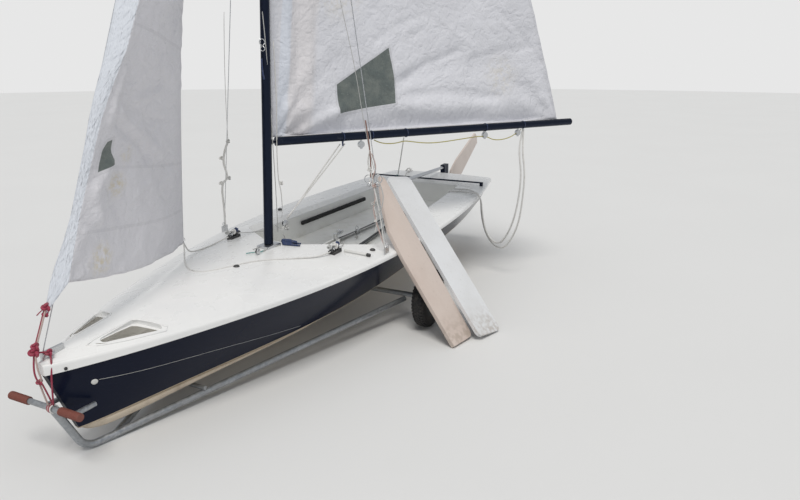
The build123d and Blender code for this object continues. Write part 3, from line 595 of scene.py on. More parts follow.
boom_hanger = along_boom(2.125, -0.034)
outer_strand = [boom_hanger, along_boom(2.13, -0.10),
                *points_in(ground, (-1.272, 1.080, 1.06), (-1.257, 1.113, 0.887), (-1.26, 1.106, 0.709),
                           (-1.271, 1.082, 0.482), (-1.306, 1.003, 0.300), (-1.339, 0.927, 0.226),
                           (-1.383, 0.829, 0.240), (-1.42, 0.746, 0.334), (-1.436, 0.70, 0.487),
                           (-1.449, 0.692, 0.600)),
                *points_in(boat, (0.744, 0.655, 0.056), (0.690, 0.600, 0.048), (0.615, 0.539, 0.046),
                           (0.640, 0.450, 0.050), (0.663, 0.400, 0.052))]
inner_strand = [boom_hanger + Vector((0.012, 0, 0)), along_boom(2.105, -0.10),
                *points_in(ground, (-1.258, 1.055, 1.06), (-1.246, 1.087, 0.887), (-1.248, 1.078, 0.709),
                           (-1.262, 1.040, 0.500), (-1.300, 0.970, 0.345), (-1.334, 0.905, 0.268),
                           (-1.378, 0.822, 0.272), (-1.410, 0.752, 0.350), (-1.421, 0.714, 0.487),
                           (-1.430, 0.700, 0.600)),
                *points_in(boat, (0.766, 0.664, 0.056), (0.740, 0.600, 0.048), (0.700, 0.520, 0.046),
                           (0.720, 0.440, 0.050), (0.760, 0.395, 0.052))]
held_rope("mainsheet", outer_strand, 0.014, "white_rope")
held_rope("mainsheet_return", inner_strand, 0.014, "white_rope")

# %% [markdown]
# ## Knots, rings and turned parts
# Most of a dinghy's small parts are one of three shapes: a knot, a wire ring or something turned on a
# lathe. The knot is a trefoil, the simplest line that really knots. The lathe turns an outline of
# (distance along the axis, radius) pairs about a line from one point towards another.
# %% Small part tools
def axes_about(facing):
    """A direction made one long, and two more square to it and to each other."""
    facing = Vector(facing).normalized()
    side = facing.orthogonal().normalized()
    return facing, side, facing.cross(side)


def soften(made, width, segments):
    """Rounds a piece's sharp edges, and returns the modifier."""
    softened = made.modifiers.new("soft edges", "BEVEL")
    softened.width, softened.segments, softened.limit_method = width, segments, "ANGLE"
    return softened


def ring_line(place, facing, radius, count=28, wide=1.0):
    facing, side, over = axes_about(facing)
    return [place + side * (radius * wide * math.cos(a)) + over * (radius * math.sin(a))
            for a in (2 * math.pi * k / count for k in range(count))]


def ring(name, place, facing, radius, wire, finish="stainless", body="boat", wide=1.0):
    return piece(name, sweep(ring_line(place, facing, radius, wide=wide), wire / 2, 8, True), finish, body)


def knot(name, place, facing, size, diameter, finish):
    """A pulled-up trefoil knot about that size across, facing a direction. Its rope fills most of it."""
    diameter = max(diameter, size * 0.26)
    size *= 0.62
    facing, side, over = axes_about(facing)
    line = []
    for k in range(48):
        a = 2 * math.pi * k / 48
        x, y, z = math.sin(a) + 2 * math.sin(2 * a), math.cos(a) - 2 * math.cos(2 * a), -math.sin(3 * a)
        line.append(place + (side * x + over * y) * (size / 6) + facing * (z * diameter * 0.75))
    piece(name, sweep(line, diameter / 2, 8, True), finish, "boat")


def lathe(name, start, towards, outline, finish, body="boat", count=32, hollow=False):
    """Turns an outline of (along, radius) pairs about the line from start towards a point. Its ends are
    closed, or joined to each other where it is hollow."""
    along, side, over = axes_about(Vector(towards) - Vector(start))
    mesh = bmesh.new()
    rings = []
    for distance, radius in outline:
        rings.append([mesh.verts.new(Vector(start) + along * distance
                                     + (side * math.cos(a) + over * math.sin(a)) * radius)
                      for a in (2 * math.pi * k / count for k in range(count))])
    for low, high in zip(rings, rings[1:] + (rings[:1] if hollow else [])):
        for k in range(count):
            n = (k + 1) % count
            mesh.faces.new((low[k], low[n], high[n], high[k]))
    if not hollow:
        mesh.faces.new(rings[0][::-1])
        mesh.faces.new(rings[-1])
    face_out(mesh)
    made = piece(name, mesh, finish, body, smooth=True)
    soften(made, 0.0006, 2)
    return made


def block(name, place, axle, strap_to, radius, body):
    """A pulley: a grooved sheave between two cheeks, and a strap up to what carries it."""
    axle = Vector(axle).normalized()
    half = radius * 0.42
    r = radius
    lathe(name + "_sheave", place - axle * half * 0.55, place + axle,
          ((0, r * 0.3), (0, r * 0.86), (half * 0.35, r * 0.72), (half * 0.75, r * 0.72),
           (half * 1.1, r * 0.86), (half * 1.1, r * 0.3)), "black_plastic", body)
    for side in (-1, 1):
        lathe(f"{name}_cheek_{'port' if side > 0 else 'starboard'}", place + axle * (side * half * 0.62),
              place + axle * (side * 9),
              ((0, r * 0.95), (0.002, r), (0.0035, r * 0.9), (0.005, r * 0.4), (0.006, r * 0.2)),
              "stainless", body)
    strap = Vector(strap_to) - place
    piece(name + "_strap", sweep([place + strap * s for s in (0.0, 0.5, 1.0)], radius * 0.16, 8),
          "stainless", body)


def laid_on(node_name, line, lift):
    """Moves each point of a line to the nearest place on a CAD node, that far off its surface."""
    surface = BVHTree.FromObject(frame["nodes"][node_name], bpy.context.evaluated_depsgraph_get())
    laid = []
    for point in line:
        place, normal = surface.find_nearest(point)[:2]
        laid.append(place + normal * lift)
    return laid


print("small part tools ready")

# %% [markdown]
# ## Control lines under the boom
# The kicking strap holds the boom down: two parts of line from a strap on the boom to a purchase at the foot
# of the mast. A spare length of the outhaul droops in bays along the underside of the boom. It is held only
# by the boom's straps, so it is a hung cord.
# %% Boom lines
kicker_top, kicker_low = along_boom(0.498, -0.045), ground(0.445, 0.041, 0.775)
for index, (shift, foot) in enumerate(((0.018, 0.006), (-0.018, -0.008))):
    halfway = (kicker_top + kicker_low) / 2 + boom_dir * shift * 0.6
    held_rope(f"kicker_line_{index}",
              [kicker_top + boom_dir * shift, halfway, kicker_low + Vector((foot, 0, 0))],
              0.009, "white_rope")
block("kicker_block", kicker_low + Vector((0.01, -0.01, -0.03)), (0.3, 1, 0.1), kicker_low, 0.021, "boat")
rope("kicker_strop", points_in(along_boom, (0.498, -0.026), (0.499, -0.040), (0.501, -0.058)),
     0.012, "navy_rope", "boom_body")
rope("kicker_tail",
     [kicker_low + Vector((0.0, 0.0, -0.03)),
      *points_in(ground, (0.470, 0.035, 0.735), (0.487, 0.022, 0.700), (0.466, 0.036, 0.660),
                 (0.459, 0.034, 0.640))], 0.006)
knot("kicker_knot", kicker_low + Vector((0.012, 0.004, -0.058)), (0.6, 0.5, 0.2), 0.04, 0.006, "grey_rope")
for name, low, high in (("kicker_foot_strop", (0.459, 0.034, 0.642), (0.474, 0.02, 0.70)),
                        ("kicker_mast_strop", (0.474, 0.02, 0.71), (0.524, 0.006, 0.745))):
    low, high = points_in(ground, low, high)
    rope(name, [low, (low + high) / 2 + Vector((0.008, 0, 0)), high], 0.005, "grey_rope")

droop = points_in(along_boom, (0.74, -0.034), (0.79, -0.060), (0.90, -0.070), (0.984, -0.057),
                  (1.018, -0.059), (1.17, -0.084), (1.314, -0.086), (1.50, -0.074), (1.726, -0.060),
                  (1.82, -0.104), (1.96, -0.100), (2.06, -0.060), (2.10, -0.034))
droop_rope, droop_line = rope("outhaul_slack", droop, 0.007, "yellow_rope", "boom_body")
boom_radius = 0.0275
for index, distance in enumerate((0.498, 0.72, 1.0, 1.726, 2.115)):
    band = ring(f"boom_strap_{index}", along_boom(distance), boom_dir, boom_radius + 0.0015, 0.005,
                "navy_rope", "boom_body")
ring("boom_ring", along_boom(1.72, -0.043), boom_side, 0.014, 0.004, body="boom_body")
quarter_foot = boat(0.198, -0.375, 0.036)
fall_top = along_boom(0.984, -0.034)
held_rope("stern_fall", [fall_top, (fall_top + quarter_foot) / 2 + Vector((0, 0, -0.02)), quarter_foot],
          0.009, "white_rope")
print("outhaul slack", round(line_length(droop_line), 2), "m")

# %% [markdown]
# ## Shroud lanyards and trapeze gear
# Each shroud is held down by rope, not by a screw: a lanyard goes up and down between the shroud's eye and
# the chainplate and is tied off in knots. A trapeze wire hangs beside each shroud, with a ring for the crew
# to hook on. The lines are taut, so straight runs between knots are right.
# %% Shroud lanyards
def lanyard(name, points, diameter, finish="white_rope"):
    """A taut or tied line through points."""
    made, _ = rope(name, points, diameter, finish, "boat", 8)


starboard_line = [(0.256, -0.557, 1.623), (0.256, -0.560, 1.217), (0.249, -0.639, 1.095),
                  (0.255, -0.576, 0.96), (0.248, -0.658, 0.917), (0.249, -0.641, 0.694),
                  (0.249, -0.650, 0.60)]
port_wire = [(0.275, 0.340, 2.25), (0.272, 0.370, 2.09), (0.264, 0.459, 1.717), (0.257, 0.520, 1.32),
             (0.253, 0.575, 1.10)]
lanyard("trapeze_wire_starboard",
        [ground(0.275, -0.50, 2.05), ground(*starboard_line[0]), ground(*starboard_line[1])], 0.004)
for index, shift in enumerate((0.007, -0.007)):
    lanyard(f"lanyard_starboard_{index}",
            [ground(x + shift * 0.4, y + shift, z) for x, y, z in starboard_line[1:]], 0.008)
for index, (x, y, z) in enumerate(starboard_line[1:5]):
    knot(f"lanyard_knot_starboard_{index}", ground(x, y, z), (0.8, 0.5, 0.1), 0.036, 0.006,
         "white_rope" if index % 2 else "grey_rope")
lanyard("trapeze_wire_port", points_in(ground, *port_wire), 0.004, "grey_rope")
shroud_rope = [(0.259, 0.522, 1.40), (0.258, 0.534, 1.33), (0.257, 0.545, 1.26), (0.255, 0.556, 1.13),
               (0.256, 0.552, 1.05)]
lanyard("shroud_lashing", points_in(ground, *shroud_rope), 0.009, "rust_rope")
tangle = [((0.257, 0.55, 1.22), (0.259, 0.528, 1.14), (0.256, 0.560, 1.08), (0.255, 0.575, 0.98),
           (0.250, 0.620, 0.80), (0.249, 0.646, 0.571)),
          ((0.256, 0.56, 1.20), (0.252, 0.600, 1.12), (0.256, 0.556, 1.04), (0.253, 0.590, 0.93),
           (0.255, 0.565, 0.86), (0.254, 0.586, 0.768), (0.249, 0.64, 0.62)),
          ((0.258, 0.541, 1.04), (0.255, 0.566, 0.99), (0.252, 0.60, 0.92), (0.256, 0.562, 0.88),
           (0.252, 0.60, 0.80), (0.254, 0.580, 0.70)),
          ((0.253, 0.60, 1.04), (0.250, 0.634, 0.98), (0.250, 0.638, 0.90), (0.252, 0.612, 0.83),
           (0.254, 0.586, 0.80))]
for index, points in enumerate(tangle):
    lanyard(f"lanyard_port_{index}", points_in(ground, *points), 0.009 if index < 2 else 0.007,
            ("white_rope", "pink_rope", "white_rope", "grey_rope")[index])
for index, (x, y, z) in enumerate(((0.257, 0.548, 1.10), (0.254, 0.578, 1.00), (0.255, 0.566, 0.885),
                                   (0.254, 0.584, 0.775))):
    knot(f"lanyard_knot_port_{index}", ground(x, y, z), (0.8, 0.5, 0.15), 0.042 - 0.005 * index, 0.007,
         ("white_rope", "pink_rope", "grey_rope", "white_rope")[index])
for index, (x, y, z) in enumerate(((0.258, 0.541, 1.04), (0.252, 0.602, 1.043))):
    ring(f"trapeze_ring_{index}", ground(x, y, z), (0.85, 0.5, 0.12), 0.026, 0.006)
    ring(f"trapeze_ring_low_{index}", ground(x, y, z - 0.034), (0.3, 0.9, 0.1), 0.014, 0.005)
for side, name in sides:
    eye = boat(2.445, side * 0.655, 0.085)
    ring(f"chainplate_shackle_{name}", eye, (1, 0.1, 0), 0.012, 0.005, wide=1.2)

# %% [markdown]
# ## Halyards on the mast
# Rope tails hang close against the mast, with a short blue cord and a silver shackle where the jib's
# halyard is made fast. They lie close along the tube, so they need little shape of their own.
# %% Halyards
lanyard("halyard_forward",
        points_in(ground, (0.546, 0.012, 2.02), (0.541, 0.022, 1.83), (0.533, 0.024, 1.40),
                  (0.522, 0.024, 0.95), (0.520, 0.02, 0.70)), 0.005, "grey_rope")
lanyard("halyard_aft",
        points_in(ground, (0.486, 0.034, 1.86), (0.486, 0.038, 1.60), (0.492, 0.034, 1.355),
                  (0.500, 0.030, 1.25), (0.503, 0.030, 1.036), (0.484, 0.036, 0.96),
                  (0.478, 0.032, 0.895)), 0.006)
knot("halyard_knot", ground(0.476, 0.032, 1.01), (0.6, 0.8, 0), 0.034, 0.006, "white_rope")
lanyard("halyard_thin",
        points_in(ground, (0.478, 0.030, 0.93), (0.474, 0.034, 0.86), (0.484, 0.030, 0.79)), 0.004,
        "grey_rope")
lanyard("blue_tail", points_in(ground, (0.566, 0.004, 1.76), (0.572, 0.006, 1.69), (0.560, 0.010, 1.64)),
        0.010, "navy_rope")
ring("halyard_shackle", ground(0.562, 0.010, 1.852), (0.3, 1, 0), 0.018, 0.006)
ring("halyard_shackle_low", ground(0.560, 0.010, 1.815), (1, 0.2, 0), 0.013, 0.005)

# %% [markdown]
# ## Jib sheets and deck fittings
# The sheets lead from the clew across the foredeck to a jamming cleat on each side. They lie slack on the
# moulding, so their points are the deck's own height plus half a rope. Bullseyes, blocks and a sliding bar
# sit where the photograph shows them.
# %% Jib sheets
def slack_sheet(name, points, diameter, finish):
    made, line = rope(name, points, diameter, finish, "boat")
    print(name, "length", round(line_length(line), 3), "m")


clew_eye = ground(0.914, -0.40, 0.688)
slack_sheet("jib_sheet_port",
            [clew_eye, *points_in(boat, (3.12, -0.385, 0.135), (3.17, -0.345, 0.090),
                                  (3.28, -0.228, 0.098), (3.356, -0.117, 0.108), (3.341, -0.012, 0.112),
                                  (3.182, 0.061, 0.111), (3.059, 0.116, 0.109), (2.881, 0.296, 0.090),
                                  (2.78, 0.385, 0.082), (2.70, 0.40, 0.090))], 0.009, "white_rope")
slack_sheet("jib_sheet_starboard",
            [clew_eye + Vector((-0.006, -0.010, 0)),
             *points_in(boat, (3.08, -0.415, 0.130), (3.03, -0.43, 0.078), (2.94, -0.432, 0.070),
                        (2.84, -0.425, 0.070), (2.76, -0.415, 0.082), (2.70, -0.40, 0.090))], 0.009,
            "white_rope")
ring("clew_ring", clew_eye + Vector((0.0, 0.0, 0.006)), (0.2, 1, 0.1), 0.013, 0.004)
for side, name in sides:
    x, y, z = 2.65, side * 0.40, 0.1125
    for index, (dx, dy, size) in enumerate(((0.01, 0.012, 0.034), (0.045, -0.008, 0.026),
                                            (-0.03, 0.0, 0.028))):
        knot(f"cleat_rope_{name}_{index}", boat(x + dx, y + dy, z + 0.006), (0.2, 0.1, 1), size + 0.016,
             0.007, ("white_rope", "grey_rope", "navy_rope")[index])
    lathe(f"cleat_roller_{name}", boat(x + 0.036, y - 0.022, z - 0.004), boat(x + 0.036, y + 1, z - 0.004),
          ((0, 0.006), (0.001, 0.010), (0.008, 0.007), (0.036, 0.007), (0.043, 0.010), (0.044, 0.006)),
          "stainless")
    rope(f"cleat_line_{name}",
         points_in(boat, (2.62, y, 0.098), (2.55, y * 0.97, 0.078), (2.48, y * 0.90, 0.072),
                   (2.40, y * 0.80, 0.060)), 0.005, "grey_rope")
lathe("sliding_bar", boat(2.601, 0.436, 0.072), boat(2.561, 0.599, 0.050),
      ((0, 0.006), (0.002, 0.009), (0.145, 0.009), (0.146, 0.008)), "rim")
lathe("sliding_bar_cap", boat(2.5655, 0.5785, 0.0525), boat(2.561, 0.599, 0.050),
      ((0, 0.0085), (0.002, 0.011), (0.022, 0.011), (0.026, 0.007)), "black_plastic")
bullseye = ((0, 0.016), (0.003, 0.019), (0.007, 0.017), (0.012, 0.012), (0.013, 0.008))
for name, x, y, z in (("bullseye_starboard", 2.483, -0.503, 0.052),
                      ("bullseye_foredeck", 3.193, 0.074, 0.1055),
                      ("bullseye_quarter", 1.811, -0.632, 0.038),
                      ("bullseye_port", 2.455, 0.560, 0.045),
                      ("bullseye_side", 1.811, 0.632, 0.038)):
    lathe(name, boat(x, y, z), boat(x, y, z + 1), bullseye, "black_plastic")
block("mast_foot_block", boat(2.965, 0.049, 0.128), (0, 1, 0), boat(2.93, 0.03, 0.108), 0.017, "boat")
rope("mast_foot_teal",
     points_in(boat, (2.99, -0.02, 0.113), (2.96, 0.02, 0.118), (2.93, 0.05, 0.112), (2.87, 0.03, 0.108)),
     0.006, "teal_rope")
for index, (side, lift) in enumerate(((-0.022, 0.0), (0.024, 0.004))):
    lanyard(f"mast_foot_line_{index}",
            [boat(2.90, side * 1.8, 0.108), boat(2.865, side * 1.4, 0.110 + lift),
             boat(2.80, side * 1.6, 0.106), boat(2.74, side * 2.2, 0.100)],
            0.006, "grey_rope")
swivel = boat(1.651, -0.014, -0.120)
block("floor_swivel", swivel, (0.2, 1, 0.1), swivel + Vector((0, 0, -0.045)), 0.024, "boat")
ring("floor_swivel_ring", swivel + Vector((0.012, 0, 0.034)), (0.3, 1, 0.2), 0.016, 0.005)
knot("floor_swivel_knot", swivel + Vector((0.04, 0.01, -0.03)), (0.3, 0.4, 1), 0.034, 0.007, "grey_rope")

# %% [markdown]
# ## Loose gear
# A navy bundle of cord lies behind the mast, and teal and white rope ends on the starboard quarter. A bundle
# is one long rope laid to and fro in bays of uneven length, which reads as a rope put down by hand.
# %% Bundles
def bundle(name, start, end, turns, width, rise, diameter, finish, seed):
    """A rope laid to and fro between two boat-frame points, its bays uneven."""
    chance = random.Random(seed)
    start, end = Vector(start), Vector(end)
    across = (end - start).cross(Vector((0, 0, 1))).normalized()
    points = []
    for k in range(turns * 2 + 1):
        share = chance.uniform(0.0, 0.16) if k % 2 else 1 - chance.uniform(0.0, 0.16)
        sway = width * (k / (turns * 2) - 0.5) + chance.uniform(-0.004, 0.004)
        lift = rise * (1 - (2 * k / (turns * 2) - 1) ** 2) + chance.uniform(0.0, 0.004)
        points.append(boat(*(start + (end - start) * share + across * sway + Vector((0, 0, lift)))))
    lanyard(name, points, diameter, finish)


bundle("navy_bundle", (2.728, -0.005, 0.104), (2.676, 0.165, 0.098), 8, 0.034, 0.016, 0.013, "navy_rope", 4)
bundle("navy_bundle_top", (2.718, 0.012, 0.120), (2.686, 0.148, 0.116), 4, 0.018, 0.008, 0.013,
       "navy_rope", 9)
bundle("teal_bundle", (0.386, -0.282, 0.046), (0.30, -0.34, 0.042), 4, 0.045, 0.014, 0.006, "teal_rope", 2)
bundle("quarter_bundle", (0.128, -0.309, 0.044), (0.0, -0.33, 0.042), 5, 0.06, 0.03, 0.007, "white_rope",
       6)
lanyard("quarter_rope",
        points_in(boat, (0.42, -0.25, 0.040), (0.33, -0.24, 0.043), (0.22, -0.28, 0.043),
                  (0.13, -0.31, 0.05), (0.05, -0.30, 0.05), (0.04, -0.34, 0.044)), 0.007)

# %% [markdown]
# ## The bow lashing
# A thin red line ties the jib's tack down to the stem and then the stem to the trolley's handle, with a
# knot wherever a hand stopped. A few paler strands run beside it.
# %% Bow lashing
tack_knot, stem_knot = ground(2.130, 0.004, 0.742), ground(2.212, 0.0, 0.566)
handle_joint = ground(2.172, 0.0, 0.282)
lashing = {"tack_strand_0": ((2.127, -0.006, 0.745), (2.168, -0.006, 0.655), (2.206, -0.006, 0.574)),
           "tack_strand_1": ((2.137, 0.008, 0.735), (2.176, 0.008, 0.650), (2.210, 0.006, 0.574)),
           "stem_strand_0": ((2.214, 0.0, 0.556), (2.228, 0.0, 0.500), (2.222, 0.0, 0.440),
                             (2.210, 0.0, 0.425)),
           "stem_strand_1": ((2.216, 0.010, 0.552), (2.220, 0.014, 0.490), (2.204, 0.010, 0.440),
                             (2.208, 0.004, 0.425)),
           "handle_strand_0": ((2.208, -0.006, 0.424), (2.196, -0.010, 0.36), (2.184, -0.006, 0.302)),
           "handle_strand_1": ((2.206, 0.006, 0.424), (2.188, 0.010, 0.36), (2.170, 0.004, 0.302)),
           "deck_strand": ((2.200, 0.002, 0.560), (2.180, 0.006, 0.556), (2.158, 0.012, 0.548)),
           "hull_strand": ((2.155, 0.018, 0.540), (2.166, 0.036, 0.510), (2.178, 0.036, 0.447),
                           (2.180, 0.030, 0.378), (2.172, 0.010, 0.300))}
for name, points in lashing.items():
    pale = name in ("tack_strand_1", "handle_strand_0", "stem_strand_1")
    lanyard("lashing_" + name, points_in(ground, *points), 0.008, "pink_rope" if pale else "red_rope")
for index, (place, size) in enumerate(((tack_knot, 0.050),
                                       (tack_knot + Vector((0.008, 0.0, -0.028)), 0.036),
                                       (stem_knot, 0.058),
                                       (stem_knot + Vector((-0.006, 0.004, 0.026)), 0.044),
                                       (ground(2.157, 0.014, 0.546), 0.042),
                                       (ground(2.210, 0.0, 0.427), 0.036))):
    knot(f"lashing_knot_{index}", place, (0.6, 0.75, 0.3), size, 0.008, "red_rope")
for index, (side, finish) in enumerate(((-0.016, "red_rope"), (-0.008, "pink_rope"), (0.0, "red_rope"),
                                        (0.009, "white_rope"))):
    ring(f"handle_wrap_{index}", handle_joint + Vector((0, side, 0)), (0.15 * index - 0.2, 1, 0.1), 0.0175,
         0.007, finish)
lanyard("lashing_tail",
        [tack_knot, tack_knot + Vector((0.02, -0.012, -0.012)), tack_knot + Vector((0.035, -0.02, -0.03))],
        0.005, "red_rope")

# %% [markdown]
# ## Plug, line and the lip of the recess
# A white drain plug stands on the bow with a thin cord glued along the topside behind it. The hollows in
# the foredeck have a soft raised lip, drawn as a low half-round bead that follows the edge of the recess
# and lies half in the deck.
# %% Bow details
plug_place, plug_out = boat(4.220, 0.087, -0.100), Vector((0.42, 0.90, -0.12))
lathe("bow_plug", plug_place - plug_out * 0.004, plug_place + plug_out,
      ((0, 0.012), (0.004, 0.016), (0.008, 0.015), (0.011, 0.010), (0.012, 0.004)), "rim")
cord_run = spline_line(points_in(boat, (4.206, 0.10, -0.0955), (4.048, 0.165, -0.121),
                                 (3.736, 0.26, -0.157), (3.389, 0.34, -0.208),
                                 (3.061, 0.397, -0.260)), 24)
piece("topside_cord", sweep(laid_on("hull", cord_run, 0.0008), 0.0012, 6), "grey_rope", "boat")
lathe("bow_stud", boat(4.328, 0.064, 0.012), boat(4.40, 0.30, 0.012),
      ((0, 0.006), (0.003, 0.008), (0.007, 0.006)), "black_plastic")
shade_share = 0.80             # the painted shade sheet's size as a share of the recess
recess_edge = ((4.214, 0.072), (4.186, 0.104), (4.143, 0.132), (4.067, 0.174), (3.985, 0.211),
               (3.914, 0.243), (3.892, 0.226), (3.914, 0.160), (3.940, 0.092), (3.960, 0.070),
               (4.06, 0.064), (4.17, 0.062))
for side, name in sides:
    edge_line = [boat(x, side * y, 0.0925 - 0.30 * (y - 0.07) + 0.03 * (4.2 - x)) for x, y in recess_edge]
    piece(f"recess_lip_{name}", sweep(laid_on("deck", edge_line, 0.001), 0.0045, 8, True), "deck", "boat")
    # painted shade: a thin grey sheet inside each recess stands in for the shade in the hollow
    shade_sheet = bmesh.new()
    middle_x, middle_y = (sum(values) / len(values) for values in zip(*recess_edge))
    rim = []
    for x, y in recess_edge:
        x, y = middle_x + (x - middle_x) * shade_share, middle_y + (y - middle_y) * shade_share
        rim.append(shade_sheet.verts.new(boat(x, side * y, 0.0698 - 0.2 * (y - 0.070))))
    face = shade_sheet.faces.new(rim)
    bmesh.ops.solidify(shade_sheet, geom=[face], thickness=-0.0008)
    face_out(shade_sheet)
    piece(f"recess_mat_{name}", shade_sheet, "recess_shade", "boat")

# %% [markdown]
# ## The bottom of the bow
# Below the chine the real hull goes on in a shallow cream bottom that shows as a band from the bow aft. It
# is a shell lofted through a few sections, each of them given by where the chine is, how far the bottom's
# edge drops below it and how much it draws in. It fades into the CAD hull amidships.
# %% Bow bottom
bottom_sections = (
    # boat x, half width at the chine, chine height, drop, draw in
    (4.262, 0.013, -0.312, 0.030, 0.002), (4.200, 0.048, -0.317, 0.046, 0.006),
    (4.120, 0.071, -0.318, 0.052, 0.010), (3.980, 0.115, -0.314, 0.056, 0.014),
    (3.700, 0.191, -0.308, 0.044, 0.018), (3.350, 0.300, -0.298, 0.034, 0.020),
    (3.000, 0.389, -0.290, 0.026, 0.020), (2.600, 0.440, -0.279, 0.022, 0.022),
)


def bow_bottom():
    mesh = bmesh.new()
    rings = []
    for x, half, chine, drop, draw in bottom_sections:
        low = chine - drop
        outline = ((half + 0.0006, chine + 0.002), (half - draw * 0.25, chine - drop * 0.55),
                   (half - draw, low), (half * 0.55, low - 0.006), (0.0, low - 0.009))
        across = list(outline) + [(-y, z) for y, z in outline[-2::-1]]
        rings.append([mesh.verts.new(boat(x, y, z)) for y, z in across])
    for fore, aft in zip(rings, rings[1:]):
        for k in range(len(fore) - 1):
            mesh.faces.new((fore[k], fore[k + 1], aft[k + 1], aft[k]))
        mesh.faces.new((fore[-1], fore[0], aft[0], aft[-1]))
    mesh.faces.new(rings[0][::-1])
    mesh.faces.new(rings[-1])
    face_out(mesh)
    made = piece("bow_bottom", mesh, "bottom", "boat", smooth=True)
    finer = made.modifiers.new("finer", "SUBSURF")
    finer.levels = finer.render_levels = 2


finishes["bottom"] = moulded("bottom_gelcoat", (0.55, 0.47, 0.37), 0.5, (0.36, 0.29, 0.22), 0.7, 40.0,
                             0.0004)
bow_bottom()

# %% [markdown]
# ## Things that repeat
# Tread lugs, the ribs of a grip and stitches are one small block set again and again along a path. Geometry
# Nodes is made for that: the tree turns a path mesh into a curve, spaces it out, sets the block on every
# point with its Z along the path's own "up" and its X along the path, and varies the size a little from a
# fixed seed. A change of one number regrows the lot, which hand-placed copies couldn't do.
# %% Repeat on a path
def repeat_tree():
    tree = bpy.data.node_groups.new("repeat_on_path", "GeometryNodeTree")
    for socket, kind in (("Geometry", "Geometry"), ("Block", "Object"), ("Count", "Int"),
                         ("Uneven", "Float"), ("Seed", "Int"), ("Finish", "Material")):
        tree.interface.new_socket(socket, in_out="INPUT", socket_type="NodeSocket" + kind)
    tree.interface.new_socket("Geometry", in_out="OUTPUT", socket_type="NodeSocketGeometry")
    add, link = tree.nodes.new, tree.links.new
    given, result = add("NodeGroupInput"), add("NodeGroupOutput")
    curve, spaced = add("GeometryNodeMeshToCurve"), add("GeometryNodeResampleCurve")
    link(given.outputs["Geometry"], curve.inputs["Mesh"])
    link(curve.outputs["Curve"], spaced.inputs["Curve"])
    link(given.outputs["Count"], spaced.inputs["Count"])
    up = add("GeometryNodeInputNamedAttribute")
    up.data_type = "FLOAT_VECTOR"
    up.inputs["Name"].default_value = "up"
    raised, turned = add("FunctionNodeAlignRotationToVector"), add("FunctionNodeAlignRotationToVector")
    raised.axis = "Z"
    turned.axis, turned.pivot_axis = "X", "Z"
    link(up.outputs["Attribute"], raised.inputs["Vector"])
    link(raised.outputs["Rotation"], turned.inputs["Rotation"])
    link(add("GeometryNodeInputTangent").outputs["Tangent"], turned.inputs["Vector"])
    size = add("FunctionNodeRandomValue")
    for operation, socket in (("SUBTRACT", "Min"), ("ADD", "Max")):
        limit = add("ShaderNodeMath")
        limit.operation = operation
        limit.inputs[0].default_value = 1.0
        link(given.outputs["Uneven"], limit.inputs[1])
        link(limit.outputs[0], [s for s in size.inputs if s.name == socket and s.type == "VALUE"][0])
    link(given.outputs["Seed"], size.inputs["Seed"])
    block, placed = add("GeometryNodeObjectInfo"), add("GeometryNodeInstanceOnPoints")
    link(given.outputs["Block"], block.inputs["Object"])
    link(spaced.outputs["Curve"], placed.inputs["Points"])
    link(block.outputs["Geometry"], placed.inputs["Instance"])
    link(turned.outputs["Rotation"], placed.inputs["Rotation"])
    link([s for s in size.outputs if s.type == "VALUE"][0], placed.inputs["Scale"])
    real, dressed_blocks = add("GeometryNodeRealizeInstances"), add("GeometryNodeSetMaterial")
    link(placed.outputs["Instances"], real.inputs["Geometry"])
    link(real.outputs["Geometry"], dressed_blocks.inputs["Geometry"])
    link(given.outputs["Finish"], dressed_blocks.inputs["Material"])
    link(dressed_blocks.outputs["Geometry"], result.inputs["Geometry"])
    return tree


repeats = repeat_tree()
repeat_sockets = {item.name: item.identifier for item in repeats.interface.items_tree
                  if item.in_out == "INPUT"}


def repeated(path, ups, block, count, finish, closed=False, uneven=0.0, seed=7):
    """A mesh of count copies of a block mesh along a path, each standing on the path's up vectors."""
    line = bpy.data.meshes.new("path")
    edges = [(i, i + 1) for i in range(len(path) - 1)] + ([(len(path) - 1, 0)] if closed else [])
    line.from_pydata([tuple(point) for point in path], edges, [])
    up = line.attributes.new("up", "FLOAT_VECTOR", "POINT")
    up.data.foreach_set("vector", [c for u in ups for c in u])
    path_holder, block_holder = in_scene("path_holder", line), in_scene("block_holder", block)
    grown = path_holder.modifiers.new("grow", "NODES")
    grown.node_group = repeats
    for socket, value in (("Block", block_holder), ("Count", count), ("Uneven", uneven), ("Seed", seed),
                          ("Finish", finishes[finish])):
        grown[repeat_sockets[socket]] = value
    result = evaluated(path_holder)
    for holder in (path_holder, block_holder):
        bpy.data.objects.remove(holder)
    return result


def joined(name, meshes, finish, body, smooth=None):
    whole = bmesh.new()
    for mesh in meshes:
        whole.from_mesh(mesh)
    return piece(name, whole, finish, body, smooth)


def lug(length, width, height, turn=0.0, soft=0.0012):
    """A small block with softened edges that stands on z = 0, turned about z."""
    mesh = bmesh.new()
    bmesh.ops.create_cube(mesh, size=1.0,
                          matrix=Matrix.Translation((0, 0, height / 2))
                          @ Matrix.Diagonal((length, width, height, 1)))
    bmesh.ops.bevel(mesh, geom=list(mesh.edges), offset=soft, segments=1, affect="EDGES")
    bmesh.ops.rotate(mesh, verts=mesh.verts, matrix=Matrix.Rotation(turn, 3, "Z"))
    return plain_data("lug", mesh)


